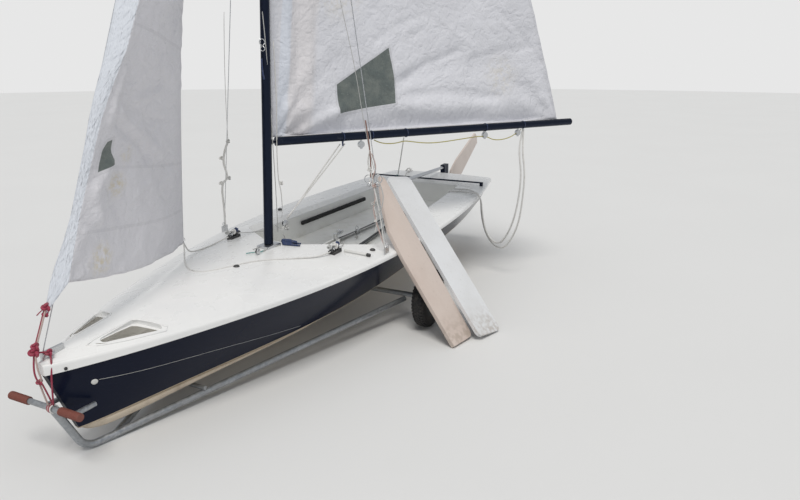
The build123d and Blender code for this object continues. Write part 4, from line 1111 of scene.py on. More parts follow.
# %% [markdown]
# ## Tyres and grips
# Each tyre is a rounded casing turned about the axle, with six rows of lugs round it: two at the crown, two
# on the shoulders and two small ones down the sides. The lugs end just inside the CAD tyre's surface, so
# the wheel still stands on the ground. The grips get fine ribs round them.
# %% Tyres
casing = ((-0.046, 0.1008), (-0.0492, 0.113), (-0.0498, 0.135), (-0.0478, 0.155), (-0.0425, 0.172),
          (-0.0345, 0.184), (-0.025, 0.1910), (-0.013, 0.1945), (0.0, 0.1955))
tread_rows = (
    # across, radius, lug length, width, height, turn, half a step on, lean outward
    (0.0085, 0.1940, 0.019, 0.0135, 0.0055, 0.35, 0, 0.0),
    (0.0265, 0.1895, 0.015, 0.0145, 0.0070, -0.2, 1, 0.35),
    (0.0405, 0.1750, 0.013, 0.0130, 0.0040, 0.0, 0, 0.95),
)
lugs_a_row = 46
for side, name in sides:
    low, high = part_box(f"tyre_{name}")
    hub = (Vector(low) + Vector(high)) / 2
    outline = casing + tuple((-y, r) for y, r in casing[-2::-1]) + ((0.030, 0.1008), (-0.030, 0.1008))
    tyre = lathe(f"tyre_{name}_casing", hub, hub + Vector((0, 1, 0)), outline, "tyre", None, 96,
                 hollow=True)
    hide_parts(f"tyre_{name}")
    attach(tyre, f"wheel_{name}_body")
    lugs = []
    for across, radius, length, width, height, turn, step, lean in tread_rows:
        for way in (-1, 1):
            shift = math.pi / lugs_a_row * (step + (way > 0))
            angles = [math.pi * k / lugs_a_row + shift for k in range(2 * lugs_a_row)]
            path = [hub + Vector((radius * math.cos(a), way * across, radius * math.sin(a)))
                    for a in angles]
            ups = [Vector((math.cos(a), way * lean, math.sin(a))).normalized() for a in angles]
            shape = lug(length, width, height, way * turn)
            lugs.append(repeated(path, ups, shape, lugs_a_row, "tyre", closed=True, uneven=0.03, seed=3))
    joined(f"tyre_{name}_tread", lugs, "tyre", f"wheel_{name}_body")
print("lugs on each tyre:", lugs_a_row * 2 * len(tread_rows))

grip_low, grip_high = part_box("handle_grips")
grip_middle = (Vector(grip_low) + Vector(grip_high)) / 2
grip_ys = sorted({round((frame["nodes"]["handle_grips"].matrix_world @ v.co).y, 4)
                  for v in frame["nodes"]["handle_grips"].data.vertices})
inner_low, inner_high = max(zip(grip_ys, grip_ys[1:]), key=lambda pair: pair[1] - pair[0])
rib_data = plain_data("rib", sweep(ring_line(Vector((0, 0, 0)), (1, 0, 0), 0.0181, 32), 0.0011, 6, True))
ribs = []
for start, end in ((grip_low[1] + 0.006, inner_low - 0.006), (inner_high + 0.006, grip_high[1] - 0.006)):
    path = [Vector((grip_middle.x, start + (end - start) * k / 8, grip_middle.z)) for k in range(9)]
    ribs.append(repeated(path, [(0, 0, 1)] * 9, rib_data, 22, "grip", uneven=0.01, seed=5))
joined("grip_ribs", ribs, "grip", "boat", smooth=True)

# %% [markdown]
# ## The cream board's narrow top
# The CAD board is a plain straight one. The real one is drawn in along its leading edge and its head, so a
# copy of it is cut along three lines on its face, and its new edges are rounded like the old ones.
# %% Cream board
board_line = points_in(ground, (-0.029, 0.474, 0.942), (0.072, 0.545, 0.821), (0.151, 0.626, 0.692),
                       (0.186, 0.743, 0.530), (0.240, 1.133, 0.010))


def trimmed_board():
    source = frame["nodes"]["daggerboard"]
    mesh = bmesh.new()
    mesh.from_mesh(source.data)
    mesh.transform(source.matrix_world)
    bmesh.ops.remove_doubles(mesh, verts=mesh.verts, dist=1e-5)
    facing = max(mesh.faces, key=lambda face: face.calc_area()).normal.copy()
    middle = sum((v.co for v in mesh.verts), Vector()) / len(mesh.verts)
    for start, end in zip(board_line, board_line[1:]):
        out = (end - start).cross(facing).normalized()
        if out.dot(middle - start) > 0:
            out.negate()
        whole = list(mesh.verts) + list(mesh.edges) + list(mesh.faces)
        bmesh.ops.bisect_plane(mesh, geom=whole, plane_co=start, plane_no=out, clear_outer=True)
        bmesh.ops.holes_fill(mesh, edges=[e for e in mesh.edges if e.is_boundary], sides=0)
    face_out(mesh)
    made = piece("cream_board_trimmed", mesh, "cream_board", None, smooth=True)
    softened = soften(made, 0.006, 4)
    softened.angle_limit = math.radians(40)
    softened.harden_normals = True
    return made


cream_board = trimmed_board()
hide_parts("daggerboard")
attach(cream_board, "boat")

# %% [markdown]
# ## Cloth tools
# A sail is drawn as rows of points, each row running from the luff at the front to the leech behind.
# Beside every point goes its place on the flat cloth in metres, as a UV map, and how far it is from the
# leech and the head, as a second one. The first lets the weave, seams and window lie on the cloth like
# the real ones, and the second does the hems.
# %% Cloth tools
def cloth(name, rows, marks, edges, thickness, finish):
    """A thin closed sheet from rows of points, with its UV maps in metres."""
    wide = len(rows[0])
    points = [point for row in rows for point in row]
    faces = []
    for j in range(len(rows) - 1):
        for i in range(wide - 1):
            corner = j * wide + i
            faces.append((corner, corner + 1, corner + wide + 1, corner + wide))
    data = bpy.data.meshes.new(name)
    data.from_pydata([tuple(point) for point in points], [], faces)
    for layer, values in (("cloth", marks), ("edges", edges)):
        flat = [value for row in values for value in row]
        uv = data.uv_layers.new(name=layer)
        uv.data.foreach_set("uv", [c for loop in data.loops for c in flat[loop.vertex_index]])
    made = piece(name, data, finish, None, smooth=True)
    shell = made.modifiers.new("cloth thickness", "SOLIDIFY")
    shell.thickness = thickness
    shell.offset = 0
    return made


def through(pairs):
    """A polynomial that passes through a few (place, value) pairs."""
    fit = np.polyfit([a for a, b in pairs], [b for a, b in pairs], len(pairs) - 1)
    return lambda value: float(np.polyval(fit, value))


def bell(value, width):
    return math.exp(-(value / width) ** 2)


def ridge(s, t, line, width):
    """1 on a line of cloth points and falling off each side of it; the line ends softly."""
    nearest = 9.0
    for (s0, t0), (s1, t1) in zip(line, line[1:]):
        ds, dt = s1 - s0, t1 - t0
        share = min(1.0, max(0.0, ((s - s0) * ds + (t - t0) * dt) / (ds * ds + dt * dt)))
        nearest = min(nearest, math.hypot(s - s0 - ds * share, t - t0 - dt * share))
    return bell(nearest, width)


def rumple(s, t, size, seed):
    """Smooth noise from -1 to 1 on the cloth, with features of about that size."""
    return noise.noise(Vector((s / size, t / size, seed)))


# %% [markdown]
# ## Pads and straps
# The trolley's pads and the rolls along the cockpit are closed-cell foam. A copy of the CAD solid is
# remeshed fine and smoothed, so its corners go soft while it stays in the space of the solid. The toe
# straps are flat webbing, which a remesh would eat, so each is a ribbon drawn between its two saddles.
# %% Pads
def soft_copy(node_name, voxel, rounds):
    source = frame["nodes"][node_name]
    data = source.data.copy()
    tidy = bmesh.new()
    tidy.from_mesh(data)
    bmesh.ops.remove_doubles(tidy, verts=tidy.verts, dist=1e-5)
    tidy.to_mesh(data)
    tidy.free()
    data.transform(source.matrix_world)
    holder = in_scene(node_name + "_holder", data)
    fine = holder.modifiers.new("fine", "REMESH")
    fine.mode, fine.voxel_size = "VOXEL", voxel
    soft = holder.modifiers.new("soft", "SMOOTH")
    soft.factor, soft.iterations = 0.5, rounds
    result = evaluated(holder)
    bpy.data.objects.remove(holder)
    made = piece(node_name + "_foam", result, "foam", None, smooth=True)
    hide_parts(node_name)
    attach(made, "boat")
    print(made.name, len(made.data.polygons), "faces")


for node_name in ("side_pad_port", "side_pad_starboard", "keel_rest", "cradle_bunks"):
    soft_copy(node_name, 0.005, 6)

# %% Toe straps
def webbing():
    made = Finish("webbing", (0.025, 0.026, 0.030), 0.7)
    uv = made.node("ShaderNodeUVMap", uv_map="cloth").outputs[0]
    ribs = made.math("SINE", made.times(made.axis(uv, 0), 2 * math.pi / 0.0028))
    picks = made.math("SINE", made.times(made.axis(uv, 1), 2 * math.pi / 0.0022))
    weave = made.times(ribs, picks)
    wear = made.step(made.noise(uv, 18.0, 5.0, 0.7), 0.45, 0.7)
    colours = made.mix(made.step(weave, -0.8, 0.8), (0.014, 0.015, 0.018), (0.045, 0.047, 0.055))
    made.paint(made.mix(made.times(wear, 0.4), colours, (0.12, 0.12, 0.115)))
    made.bump(weave, 0.0005, 0.8)
    return made.material


finishes["webbing"] = webbing()


def strap(name, start, end, width, sag, along_count=60, across_count=6):
    """A webbing ribbon between two boat-frame points, sagging a little and turned a little about its run."""
    start, end = Vector(start), Vector(end)
    across = (end - start).cross(Vector((0, 0, 1))).normalized()
    length = (end - start).length
    rows, marks, edges = [], [], []
    for j in range(along_count + 1):
        share = j / along_count
        middle = start + (end - start) * share - Vector((0, 0, sag * 4 * share * (1 - share)))
        lean = 0.35 * math.sin(math.pi * share)
        side = across * math.cos(lean) + Vector((0, 0, 1)) * math.sin(lean)
        offsets = [width * (i / across_count - 0.5) for i in range(across_count + 1)]
        rows.append([boat(*(middle + side * off
                            + Vector((0, 0, 0.0015 * math.cos(math.pi * off / width)))))
                     for off in offsets])
        marks.append([(off, length * share) for off in offsets])
        edges.append([(width / 2 - abs(off), length * share) for off in offsets])
    made = cloth(name, rows, marks, edges, 0.0025, "webbing")
    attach(made, "boat")
    return made


floor_z = -0.17
straps = [strap(f"toe_strap_{name}", (2.12, side * 0.150, floor_z + 0.030),
                (0.885, side * 0.026, floor_z + 0.031), 0.045, 0.010) for side, name in sides]
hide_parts("toe_straps")
for name, x, y, wide in (("port", 2.115, 0.150, 0.052), ("starboard", 2.115, -0.150, 0.052),
                         ("aft", 0.885, 0.0, 0.105)):
    saddle = bmesh.new()
    bmesh.ops.create_cube(saddle, size=1.0)
    for vertex in saddle.verts:
        narrow = 0.8 if vertex.co.z > 0 else 1.0
        vertex.co = boat(x + vertex.co.x * 0.036 * narrow, y + vertex.co.y * wide * narrow,
                         floor_z + 0.015 + vertex.co.z * 0.030)
    soften(piece(f"strap_saddle_{name}", saddle, "black_plastic", "boat"), 0.003, 3)


# %% [markdown]
# ## Sailcloth
# Old sailcloth is off-white, a little dirty and full of fine crinkles from being stuffed in a bag. The
# panels are joined by seams 16 mm wide. The corners carry stacked patches, and the window is a smoky
# grey-green film in a sewn frame. All of it is drawn in the sheet's own UV maps: a stripe is one smooth
# step each side of a line, and the window is where a point is inside all five of its edges.
# %% Sailcloth
hem = 0.02


def stripe(made, value, centre, half, soft=0.0012):
    away = made.math("ABSOLUTE", made.minus(value, centre))
    return made.step(away, half - soft, half + soft, 1.0, 0.0)


def inside(made, place, corners):
    """How far a point is inside a convex window on the cloth, in metres; corners run anticlockwise."""
    nearest = None
    for (ax, ay), (bx, by) in zip(corners, corners[1:] + corners[:1]):
        length = math.hypot(bx - ax, by - ay)
        across = (-(by - ay) / length, (bx - ax) / length, 0)
        dot = made.node("ShaderNodeVectorMath", {0: place, 1: across},
                        operation="DOT_PRODUCT").outputs["Value"]
        depth = made.minus(dot, across[0] * ax + across[1] * ay)
        nearest = depth if nearest is None else made.math("MINIMUM", nearest, depth)
    return nearest


def around(made, place, centre, radius, soft):
    """1 within a radius of a point on the cloth."""
    away = made.node("ShaderNodeVectorMath", {0: place, 1: (*centre, 0)},
                     operation="DISTANCE").outputs["Value"]
    return made.step(away, radius - soft, radius + soft, 1.0, 0.0)


def sailcloth(name, seams, corners, window, stains, bands=(), colour=(0.70, 0.705, 0.75)):
    made = Finish(name, colour, 0.72)
    made.shader.inputs["Sheen Weight"].default_value = 0.15
    uv = made.node("ShaderNodeUVMap", uv_map="cloth").outputs[0]
    edge = made.node("ShaderNodeUVMap", uv_map="edges").outputs[0]
    from_leech, from_luff = made.axis(edge, 0), made.axis(edge, 1)
    up = made.axis(uv, 1)
    layers = None
    for height in seams:
        line = stripe(made, up, height, 0.008)
        layers = line if layers is None else made.math("MAXIMUM", layers, line)
    for value in (from_leech, from_luff):
        layers = made.math("MAXIMUM", layers, made.step(value, hem - 0.001, hem + 0.001, 1.0, 0.0))
    patches = 0.0
    for centre, radius in corners:
        for part in (1.0, 0.72, 0.45):
            patches = made.plus(patches, around(made, uv, centre, radius * part, 0.002))
    cloud = made.step(made.noise(uv, 1.7, 5.0, 0.6), 0.35, 0.68)
    darker = tuple(c * 0.93 for c in colour)
    colours = made.mix(cloud, colour, darker)
    for low, high, tint, share in bands:
        aft = made.minus(made.axis(uv, 0), made.times(made.axis(uv, 1), 0.075))
        band = made.times(made.step(aft, low - 0.006, low + 0.006),
                         made.step(aft, high - 0.03, high + 0.03, 1.0, 0.0))
        colours = made.mix(made.times(band, share), colours, tint)
    colours = made.mix(made.times(layers, 0.35), colours, tuple(c * 0.80 for c in colour))
    colours = made.mix(made.times(patches, 0.06), colours, tuple(c * 0.75 for c in colour))
    speck = made.step(made.noise(uv, 38.0, 6.0, 0.75), 0.63, 0.80)
    colours = made.mix(made.times(speck, 0.35), colours, (0.42, 0.40, 0.36))
    blot = made.noise(uv, 22.0, 4.0, 0.7)
    for centre, radius, share in stains:
        ring = around(made, uv, centre, radius, radius * 0.8)
        ring = made.times(made.times(ring, made.step(blot, 0.4, 0.62)), share)
        colours = made.mix(ring, colours, (0.60, 0.50, 0.26))
    depth = inside(made, uv, window)
    film = made.step(depth, -0.001, 0.001)
    frame_band = made.times(made.step(depth, -0.016, -0.014), made.minus(1.0, film))
    smoky = made.mix(made.step(made.noise(uv, 9.0, 5.0, 0.7), 0.35, 0.7), (0.098, 0.120, 0.116),
                     (0.16, 0.18, 0.165))
    # painted highlight: pale slanted streaks on the window film stand in for light caught along its creases
    slanted = made.node("ShaderNodeMapping", {0: uv, "Scale": (1, 4, 1), "Rotation": (0, 0, 0.5)})
    crease_highlight = made.step(made.noise(slanted.outputs[0], 14.0, 5.0, 0.75), 0.60, 0.74)
    smoky = made.mix(made.times(crease_highlight, 0.5), smoky, (0.42, 0.44, 0.42))
    colours = made.mix(made.times(frame_band, 0.4), colours, tuple(c * 0.72 for c in colour))
    # painted highlight: the jib's narrow strip beside the luff is painted bluish white for the light that
    # strip catches
    luff_strip_highlight = made.step(made.axis(uv, 0), -0.004, 0.0, 0.6, 0.0)
    colours = made.mix(luff_strip_highlight, colours, (0.72, 0.78, 0.86))
    made.paint(made.mix(film, colours, smoky))
    made.polish(made.step(film, 0.0, 1.0, 0.72, 0.28))
    luff_zone = made.step(made.axis(uv, 0), -0.004, 0.0, 1.0, 0.0)
    fine_lines = made.math("SINE", made.plus(made.times(made.axis(uv, 0), 520.0),
                                             made.times(made.noise(uv, 3.0, 2.0), 9.0)))
    fine_lines = made.times(luff_zone, made.step(fine_lines, 0.2, 0.9))
    made.bump(fine_lines, 0.0015, 0.6)
    crinkle = made.math("ABSOLUTE", made.minus(made.noise(uv, 9.0, 5.0, 0.62), 0.5))
    made.bump(crinkle, 0.022, 0.7)
    wander = made.node("ShaderNodeVectorMath", {0: uv, 1: made.noise_vector(uv, 5.0, 0.06)},
                       operation="ADD").outputs[0]
    for scale, relief in ((11.0, 0.004), (27.0, 0.0018)):
        folds = made.node("ShaderNodeTexVoronoi", {"Vector": wander, "Scale": scale},
                          feature="DISTANCE_TO_EDGE")
        made.bump(made.step(folds.outputs["Distance"], 0.0, 0.22), relief, 0.55)
    made.bump(made.plus(layers, made.plus(frame_band, made.times(patches, 0.5))), 0.0006, 0.8)
    weave = made.times(made.math("SINE", made.times(made.axis(uv, 0), 3100.0)),
                      made.math("SINE", made.times(made.axis(uv, 1), 3100.0)))
    made.bump(weave, 0.0002, 0.4)
    return made.material


main_window = [(0.488, 0.130), (0.943, 0.174), (0.949, 0.309), (0.897, 0.543), (0.479, 0.307)]
jib_window = [(0.047, 0.4965), (0.134, 0.541), (0.106, 0.653), (0.079, 0.641), (0.061, 0.597)]
finishes["mainsail_cloth"] = sailcloth(
    "mainsail_cloth", (0.95, 1.9, 2.8, 3.7), (((0, 0), 0.30), ((2.46, 0), 0.34), ((0.0, 4.92), 0.30)),
    main_window, (((0.5, 0.9), 0.15, 0.25), ((1.9, 0.35), 0.12, 0.2)),
    bands=((0.03, 0.10, (0.66, 0.71, 0.80), 0.6), (0.10, 0.28, (0.70, 0.665, 0.665), 0.55)))
finishes["jib_cloth"] = sailcloth(
    "jib_cloth", (0.219, 0.518, 1.20, 1.95, 2.8), (((0, 0), 0.22), ((1.3, 0.0), 0.25), ((0.0, 4.04), 0.2)),
    jib_window, (((0.22, 0.43), 0.05, 0.55), ((0.19, 0.09), 0.06, 0.55), ((0.26, 0.58), 0.04, 0.25)),
    colour=(0.735, 0.725, 0.76))
print("sailcloth ready")

# %% [markdown]
# ## The mainsail
# The sail's slices are drawn level with the boom, one above another up the mast, with a belly that is
# fullest a third of the way up. Its creases are sideways moves of the cloth off that smooth shape: pleats
# that run up beside the mast where the luff rope is slack, a fan of creases from the tack, a long soft
# fold aft of the window, and small rumples all over. A formula for each keeps them easy to tune.
# %% Mainsail shape
main_chord = through(((0.0, 2.49), (0.93, 2.10), (2.5, 1.42), (4.0, 0.72), (4.92, 0.11)))
main_camber = through(((0.0, 0.04), (0.9, 0.11), (2.5, 0.11), (4.0, 0.06), (4.92, 0.006)))
main_height = 4.92
main_foot = 2.46
foot_up = 0.0274             # the foot of the sail over the boom's middle
luff_gap = 0.002             # the cloth starts this far aft of the gooseneck's pin
sail_thickness = 0.0012
main_creases = (
    # depth, half width, cloth points (aft of the mast, up from the boom)
    (0.018, 0.022, ((0.03, 0.0), (0.18, 0.08), (0.46, 0.17))),
    (0.016, 0.024, ((0.05, 0.0), (0.5, 0.11), (0.78, 0.15))),
    (-0.014, 0.022, ((0.05, 0.0), (0.33, 0.11), (0.5, 0.13))),
    (0.012, 0.02, ((0.03, 0.0), (0.12, 0.14), (0.11, 0.27))),
    (-0.01, 0.02, ((0.04, 0.0), (0.17, 0.15), (0.28, 0.27))),
    (0.018, 0.03, ((0.95, 0.3), (1.21, 0.43), (1.5, 0.53))),
    (-0.01, 0.035, ((0.98, 0.22), (1.25, 0.33), (1.56, 0.4))),
    (0.012, 0.035, ((1.01, 0.22), (1.37, 0.24), (1.85, 0.19))),
    (0.012, 0.03, ((0.77, 0.15), (0.97, 0.1), (1.26, 0.07), (1.73, 0.08))),
    (0.009, 0.016, ((1.06, 0.6), (1.2, 0.67))),
    (-0.007, 0.012, ((1.22, 0.84), (1.44, 0.65))),
    (-0.007, 0.012, ((1.45, 0.66), (1.64, 0.55))),
    (0.007, 0.014, ((1.82, 0.83), (2.02, 0.68), (2.29, 0.44))),
    (0.008, 0.02, ((0.78, 0.57), (0.95, 0.68), (1.2, 0.77))),
    (0.008, 0.02, ((1.62, 0.47), (1.95, 0.54), (2.19, 0.56))),
    (0.008, 0.02, ((1.94, 0.31), (2.38, 0.21))),
)


def main_crease(s, t):
    """How far the mainsail's cloth stands off its smooth belly, in metres, at s aft and t up."""
    off = 0.0
    for near, deep, lean in ((0.055, 0.007, 0.004), (0.115, -0.010, 0.008), (0.190, 0.011, 0.012),
                             (0.275, -0.007, 0.02)):
        pleat = bell(s - near - lean * t, 0.028)
        off += deep * pleat * min(1.0, t / 0.25) * bell(max(t - 1.2, 0.0), 1.6)
    r = math.hypot(s, t)
    angle = math.atan2(t, max(s, 1e-4))
    fan = math.sin(angle * 17 + 0.6) * 0.6 + math.sin(angle * 9 + 2.0) * 0.4
    off += 0.013 * fan * bell(r - 0.30, 0.30) * min(1.0, r / 0.08)
    fold_up = 0.30 + 0.16 * (s - 0.9)
    aft_of_window = min(1.0, max(0.0, (s - 0.86) / 0.2))
    off += 0.015 * bell(t - fold_up, 0.07) * aft_of_window * bell(max(s - 1.5, 0), 0.45)
    from_hollow = t - 0.12 - 0.03 * math.sin(s * 2.2)
    off -= 0.012 * bell(from_hollow, 0.06) * min(1.0, s / 0.5) * min(1.0, max(0, 2.3 - s) / 0.4)
    clew = math.hypot(main_foot - s, t)
    off += 0.008 * math.sin(math.atan2(t, 2.48 - s) * 13) * bell(clew - 0.3, 0.25)
    for deep, width, line in main_creases:
        off += deep * ridge(s, t, line, width)
    off += (0.010 * rumple(s, t, 0.42, 3.1) + 0.007 * rumple(s, t, 0.16, 7.7)
            + 0.0035 * rumple(s, t, 0.06, 1.3))
    border = min(1.0, s / 0.03, max(t, 0.0) / 0.03 + 0.15)
    film = math.hypot((s - 0.73) / 0.27, (t - 0.28) / 0.21)
    return off * border * min(1.0, max(0.12, (film - 0.55) / 0.6))


foot_heights = (0.0, 0.012, 0.03, 0.05, 0.08, 0.14)


def main_point(s, t):
    """Where the cloth is, s metres aft of the mast and t above the boom. Its slack foot droops to port."""
    share = s / main_chord(t)
    belly = main_camber(t) * 4 * share * (1 - share) * (1.15 - 0.3 * share)
    ends = min(1.0, s / 0.2, max(0.0, 2.40 - s) / 0.25)
    slack = float(np.interp(t, foot_heights, (0.0, 0.024, 0.036, 0.038, 0.028, 0.0)))
    outward = belly + main_crease(s, t) + ends * slack
    drop = ends * float(np.interp(t, foot_heights, (0.0, 0.004, 0.040, 0.050, 0.040, 0.0)))
    return along_boom(luff_gap + s, 0, outward) + mast_up * (foot_up + t - drop)


def mainsail_sheet(across=150, tall=230):
    rows, marks, edges = [], [], []
    for j in range(tall + 1):
        t = main_height * j / tall
        chord = main_chord(t)
        row, mark, edge = [], [], []
        for i in range(across + 1):
            s = chord * i / across
            row.append(main_point(s, t))
            mark.append((s, t))
            edge.append((min(chord - s, main_height - t), min(s, t)))
        rows.append(row)
        marks.append(mark)
        edges.append(edge)
    return cloth("mainsail_sheet", rows, marks, edges, sail_thickness, "mainsail_cloth")


mainsail = mainsail_sheet()
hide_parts("mainsail")
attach(mainsail, "boom_body")
print("mainsail:", len(mainsail.data.polygons), "faces")

# %% [markdown]
# ## Stitches and the head of the sail
# The hems and the window's frame are sewn with a zigzag of thick thread that shows on the cloth. Each
# stitch is a small flat block, and the same tree sets a row of them along any line on the sail, first on
# one side of the cloth and then on the other. The very top of a mainsail is a stiff riveted board.
# %% Stitches
def cloth_line(places, step=0.05):
    """Points on the mainsail, and the way out of its port side, along a line of (s, t) places."""
    path, ups = [], []
    for (s0, t0), (s1, t1) in zip(places, places[1:]):
        count = max(2, round(math.hypot(s1 - s0, t1 - t0) / step))
        for k in range(count):
            s, t = s0 + (s1 - s0) * k / count, t0 + (t1 - t0) * k / count
            here = main_point(s, t)
            out = (main_point(s + 0.004, t) - here).cross(main_point(s, t + 0.004) - here).normalized()
            path.append(here)
            ups.append(out if out.dot(boom_side) > 0 else -out)
    return path, ups


def sewn(name, lines, pitch=0.016):
    thread = lug(0.0085, 0.0011, 0.0009, 0.55, 0.0002)
    rows = []
    for places in lines:
        path, ups = cloth_line(places)
        length = line_length(path)
        for side in (1, -1):
            lifted = [point + up * (side * 0.0005) for point, up in zip(path, ups)]
            rows.append(repeated(lifted, [up * side for up in ups], thread, int(length / pitch), "thread",
                                 seed=2))
    made = joined(name, rows, "thread", "boom_body")
    print(name, len(made.data.polygons), "faces")


finishes["thread"] = moulded("sail_thread", (0.62, 0.61, 0.60), 0.8, (0.45, 0.43, 0.40), 0.3)
leech_hem = [(main_chord(t) - 0.022, t) for t in (0.02, 0.8, 1.6, 2.4, 3.2, 4.0, 4.7)]
luff_hem = [(0.026, t) for t in (0.03, 1.0, 2.0, 3.0, 4.0, 4.8)]
foot_hem = [(s, 0.024) for s in (0.05, 0.6, 1.2, 1.8, 2.42)]
middle = (sum(s for s, t in main_window) / 5, sum(t for s, t in main_window) / 5)
window_frame = [(middle[0] + (s - middle[0]) * 1.05, middle[1] + (t - middle[1]) * 1.05)
                for s, t in main_window]
sewn("mainsail_hem_stitches", [leech_hem, luff_hem, foot_hem])
sewn("mainsail_window_stitches", [window_frame + window_frame[:1]])

headboard = bmesh.new()
corners = [(0.016, 4.74), (0.130, 4.76), (0.095, 4.885), (0.016, 4.905)]
plates = []
for side in (1, -1):
    plate = [headboard.verts.new(along_boom(luff_gap + s, 0, side * 0.0035) + mast_up * (foot_up + t))
             for s, t in corners]
    plates.append(plate)
    headboard.faces.new(plate)
for k in range(4):
    headboard.faces.new((plates[0][k], plates[0][k - 1], plates[1][k - 1], plates[1][k]))
face_out(headboard)
soften(piece("headboard", headboard, "bright_alloy", "boom_body"), 0.0012, 2)
for index, (s, t) in enumerate(((0.035, 4.765), (0.095, 4.775), (0.035, 4.87), (0.075, 4.865))):
    place = along_boom(luff_gap + s) + mast_up * (foot_up + t)
    lathe(f"headboard_rivet_{index}", place - boom_side * 0.0055, place + boom_side,
          ((0, 0.002), (0.001, 0.004), (0.010, 0.004), (0.011, 0.002)), "stainless", "boom_body", 12)

# %% [markdown]
# ## The jib
# The jib hangs loose from its stay with its tack still laid over to port, so a narrow strip beside the
# luff faces forward into the light, and the rest of the cloth turns back from a sharp fold to the
# starboard clew. Each row of points therefore has three marks: the stay, the fold and the leech.
# %% Jib shape
stay_low_corner, stay_high_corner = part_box("forestay")
stay_low = Vector((stay_high_corner.x, ground_zero.y, stay_low_corner.z))
stay_high = Vector((stay_low_corner.x, ground_zero.y, stay_high_corner.z))
stay_dir = (stay_high - stay_low).normalized()
stay_slope = (stay_high.x - stay_low.x) / (stay_high.z - stay_low.z)
jib_luff = 4.04
jib_fold_foot = 0.839        # height of the fold's lower end
jib_tack = stay_low + stay_dir * 0.160
jib_head = jib_tack + stay_dir * jib_luff
jib_clew = ground(0.912, -0.40, 0.679)


def on_stay(z):
    return stay_low + Vector((stay_slope, 0, 1)) * (z - stay_low.z)


def fold_width(z):
    return float(np.interp(z,
                           (0.70, 0.74, 0.84, 0.95, 1.10, 1.40, 1.50, 1.60, 1.70, 1.80, 2.00, 2.40, 3.20,
                            4.30),
                           (0.0, 0.050, 0.066, 0.056, 0.045, 0.045, 0.050, 0.062, 0.080, 0.100, 0.110,
                            0.080, 0.040, 0.0)))


def luff_ahead(z):
    """How far the slack luff stands forward of the stay."""
    return float(np.interp(z, (0.70, 0.84, 0.90, 0.95, 1.0, 1.1, 1.4, 1.5, 1.6, 1.75, 4.0),
                           (0.033, 0.037, 0.032, 0.022, 0.013, 0.003, 0.007, 0.013, 0.012, 0.003, 0.0)))


def fold_point(z):
    """The fold's place at a height: forward and to port of the stay, further aft higher up."""
    turn = min(1.0, max(0.0, (z - 0.84) / 0.5))
    way = Vector((-0.06 - 0.29 * turn, 1.0 - 0.06 * turn, 0)).normalized()
    return on_stay(z) + way * fold_width(z)


def leech_point(z):
    share = max(0.0, (z - jib_clew.z) / (jib_head.z - jib_clew.z))
    x = jib_clew.x + (jib_head.x - jib_clew.x) * share
    return Vector((x, ground_zero.y - 0.40 * (1 - share ** 2.5), z))


jib_creases = (
    # depth, half width, cloth points (aft of the fold, up from the foot)
    (0.016, 0.02, ((0.1, 0.79), (0.29, 0.71), (0.52, 0.61))),
    (0.014, 0.018, ((0.32, 0.73), (0.66, 0.58))),
    (-0.012, 0.022, ((0.11, 0.73), (0.39, 0.62), (0.56, 0.51))),
    (0.01, 0.018, ((0.2, 0.86), (0.35, 0.89), (0.49, 0.94))),
    (0.012, 0.018, ((0.84, 0.51), (0.64, 0.37))),
    (0.009, 0.015, ((0.63, 0.47), (0.57, 0.4))),
    (0.022, 0.035, ((0.12, 0.54), (0.06, 0.41), (0.11, 0.28))),
    (-0.01, 0.03, ((0.2, 0.58), (0.18, 0.41), (0.3, 0.26))),
    (0.012, 0.022, ((0.04, 0.98), (0.04, 0.86), (0.05, 0.74))),
    (0.008, 0.014, ((0.56, 0.71), (0.79, 0.61), (0.97, 0.5))),
    (-0.008, 0.014, ((0.17, 0.83), (0.41, 0.77), (0.64, 0.78))),
    (0.007, 0.015, ((0.58, 0.46), (0.39, 0.37))),
    (0.006, 0.014, ((1.55, 0.2), (0.79, 0.14))),
    (0.008, 0.02, ((0.04, 0.21), (0.35, 0.1))),
)


def jib_crease(s, t, wide):
    off = 0.0
    for deep, width, line in jib_creases:
        off += deep * ridge(s, t, line, width)
    off += (0.012 * rumple(s, t, 0.30, 5.2) + 0.009 * rumple(s, t, 0.12, 2.2)
            + 0.0045 * rumple(s, t, 0.05, 9.4))
    off += 0.010 * rumple(s, t, 0.085, 4.4) * bell(s - 0.55, 0.25) * bell(t - 0.62, 0.30)
    return -off * min(1.0, s / 0.04, max(0.0, wide - s) / 0.03 + 0.1)


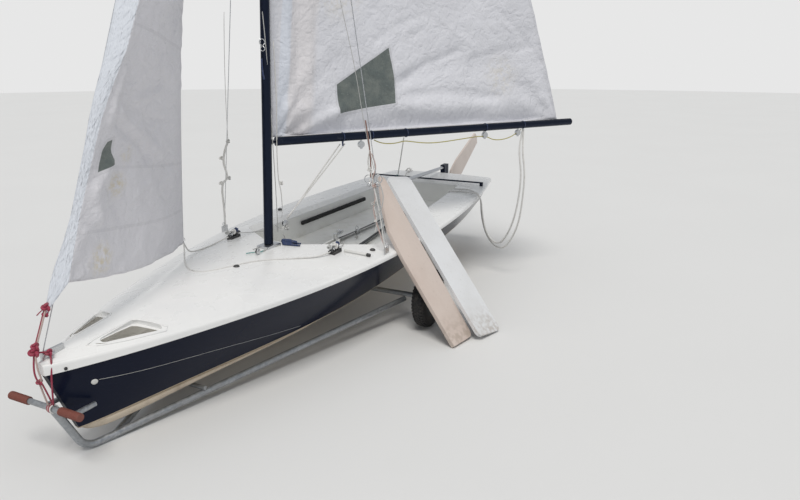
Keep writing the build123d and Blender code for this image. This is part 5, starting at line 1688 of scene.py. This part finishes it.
def jib_sheet(strip=16, panel=110, tall=240):
    rows, marks, edges = [], [], []
    for j in range(tall + 1):
        share = j / tall
        z_luff = jib_tack.z + (jib_head.z - jib_tack.z) * share
        z_fold = jib_fold_foot + (jib_head.z - jib_fold_foot) * share
        z_leech = jib_clew.z + (jib_head.z - jib_clew.z) * share
        luff = on_stay(z_luff) + Vector((luff_ahead(z_luff), 0.002, 0))
        fold, leech = fold_point(z_fold), leech_point(z_leech)
        width, rest = (fold - luff).length, (leech - fold).length
        out = Vector((0, -1, 0))
        if rest > 1e-4:
            out = stay_dir.cross((leech - fold).normalized()).normalized()
        t = jib_luff * share
        row, mark, edge = [], [], []
        for i in range(strip):
            part = i / strip
            wave = 0.010 * math.sin(math.pi * part) + 0.0025 * math.sin(part * 19 + 2.0 * math.sin(t * 3.1))
            bow = Vector((0.5, 0.3, 0)) * wave * min(1.0, width / 0.05)
            row.append(luff + (fold - luff) * part + bow)
            mark.append((width * part - width, t))
            edge.append((1.0, width * part))
        for i in range(panel + 1):
            part = (i / panel) ** 1.15
            s = rest * part
            belly = -0.05 * 4 * part * (1 - part) * (1 - share ** 2)
            sag = -0.03 * 4 * part * (1 - part) * bell(share, 0.05)
            row.append(fold + (leech - fold) * part + out * (belly + jib_crease(s, t, rest))
                       + Vector((0, 0, sag)))
            mark.append((s, t))
            edge.append((min(rest - s, jib_luff - t), width + s))
        rows.append(row)
        marks.append(mark)
        edges.append(edge)
    return cloth("jib_sheet", rows, marks, edges, sail_thickness, "jib_cloth")


jib = jib_sheet()
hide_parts("jib")
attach(jib, "boat")
print("jib:", len(jib.data.polygons), "faces")

# %% [markdown]
# ## Floor and light
# The stage is a plain pale floor with a soft overhead light. The sky lights the boat at a level at which
# a colour looks about as written; what the camera sees beyond the floor is only a pale colour.
# %% Stage
def pale_floor():
    made = Finish("pale_floor", (0.74, 0.74, 0.73), 0.9)
    place = made.place()
    made.paint(made.mix(made.noise(place, 0.6, 3.0), (0.75, 0.75, 0.745), (0.72, 0.72, 0.715)))
    return made.material


finishes["floor"] = pale_floor()
floor_mesh = bmesh.new()
bmesh.ops.create_circle(floor_mesh, cap_ends=True, segments=96, radius=40)
floor = in_scene("floor", plain_data("floor", floor_mesh))
floor.location = (0, 0, -0.001)
floor.data.materials.append(finishes["floor"])

world = bpy.data.worlds.new("studio")
world.use_nodes = True
bpy.context.scene.world = world
sky = world.node_tree
rays = sky.nodes.new("ShaderNodeLightPath")
lit = sky.nodes["Background"]
lit.inputs["Color"].default_value = (0.93, 0.96, 1.0, 1)
lit.inputs["Strength"].default_value = 0.52
seen = sky.nodes.new("ShaderNodeBackground")
seen.inputs["Color"].default_value = (0.80, 0.80, 0.80, 1)
choose = sky.nodes.new("ShaderNodeMixShader")
either = sky.nodes.new("ShaderNodeMath")
either.operation = "MAXIMUM"
for given, wanted in (
        (rays.outputs["Is Camera Ray"], either.inputs[0]),
        (rays.outputs["Is Transmission Ray"], either.inputs[1]),
        (either.outputs[0], choose.inputs[0]), (lit.outputs[0], choose.inputs[1]),
        (seen.outputs[0], choose.inputs[2]), (choose.outputs[0], sky.nodes["World Output"].inputs[0])):
    sky.links.new(given, wanted)

sun_data = bpy.data.lights.new("soft_key", "SUN")
sun_data.energy = 1.75
sun_data.angle = math.radians(24)
sun_data.color = (1.0, 0.97, 0.92)
sun = in_scene("soft_key", sun_data)
sun.rotation_euler = Vector((0.62, 0.32, 1.3)).to_track_quat("Z", "Y").to_euler()
print("floor, sky and one soft sun")
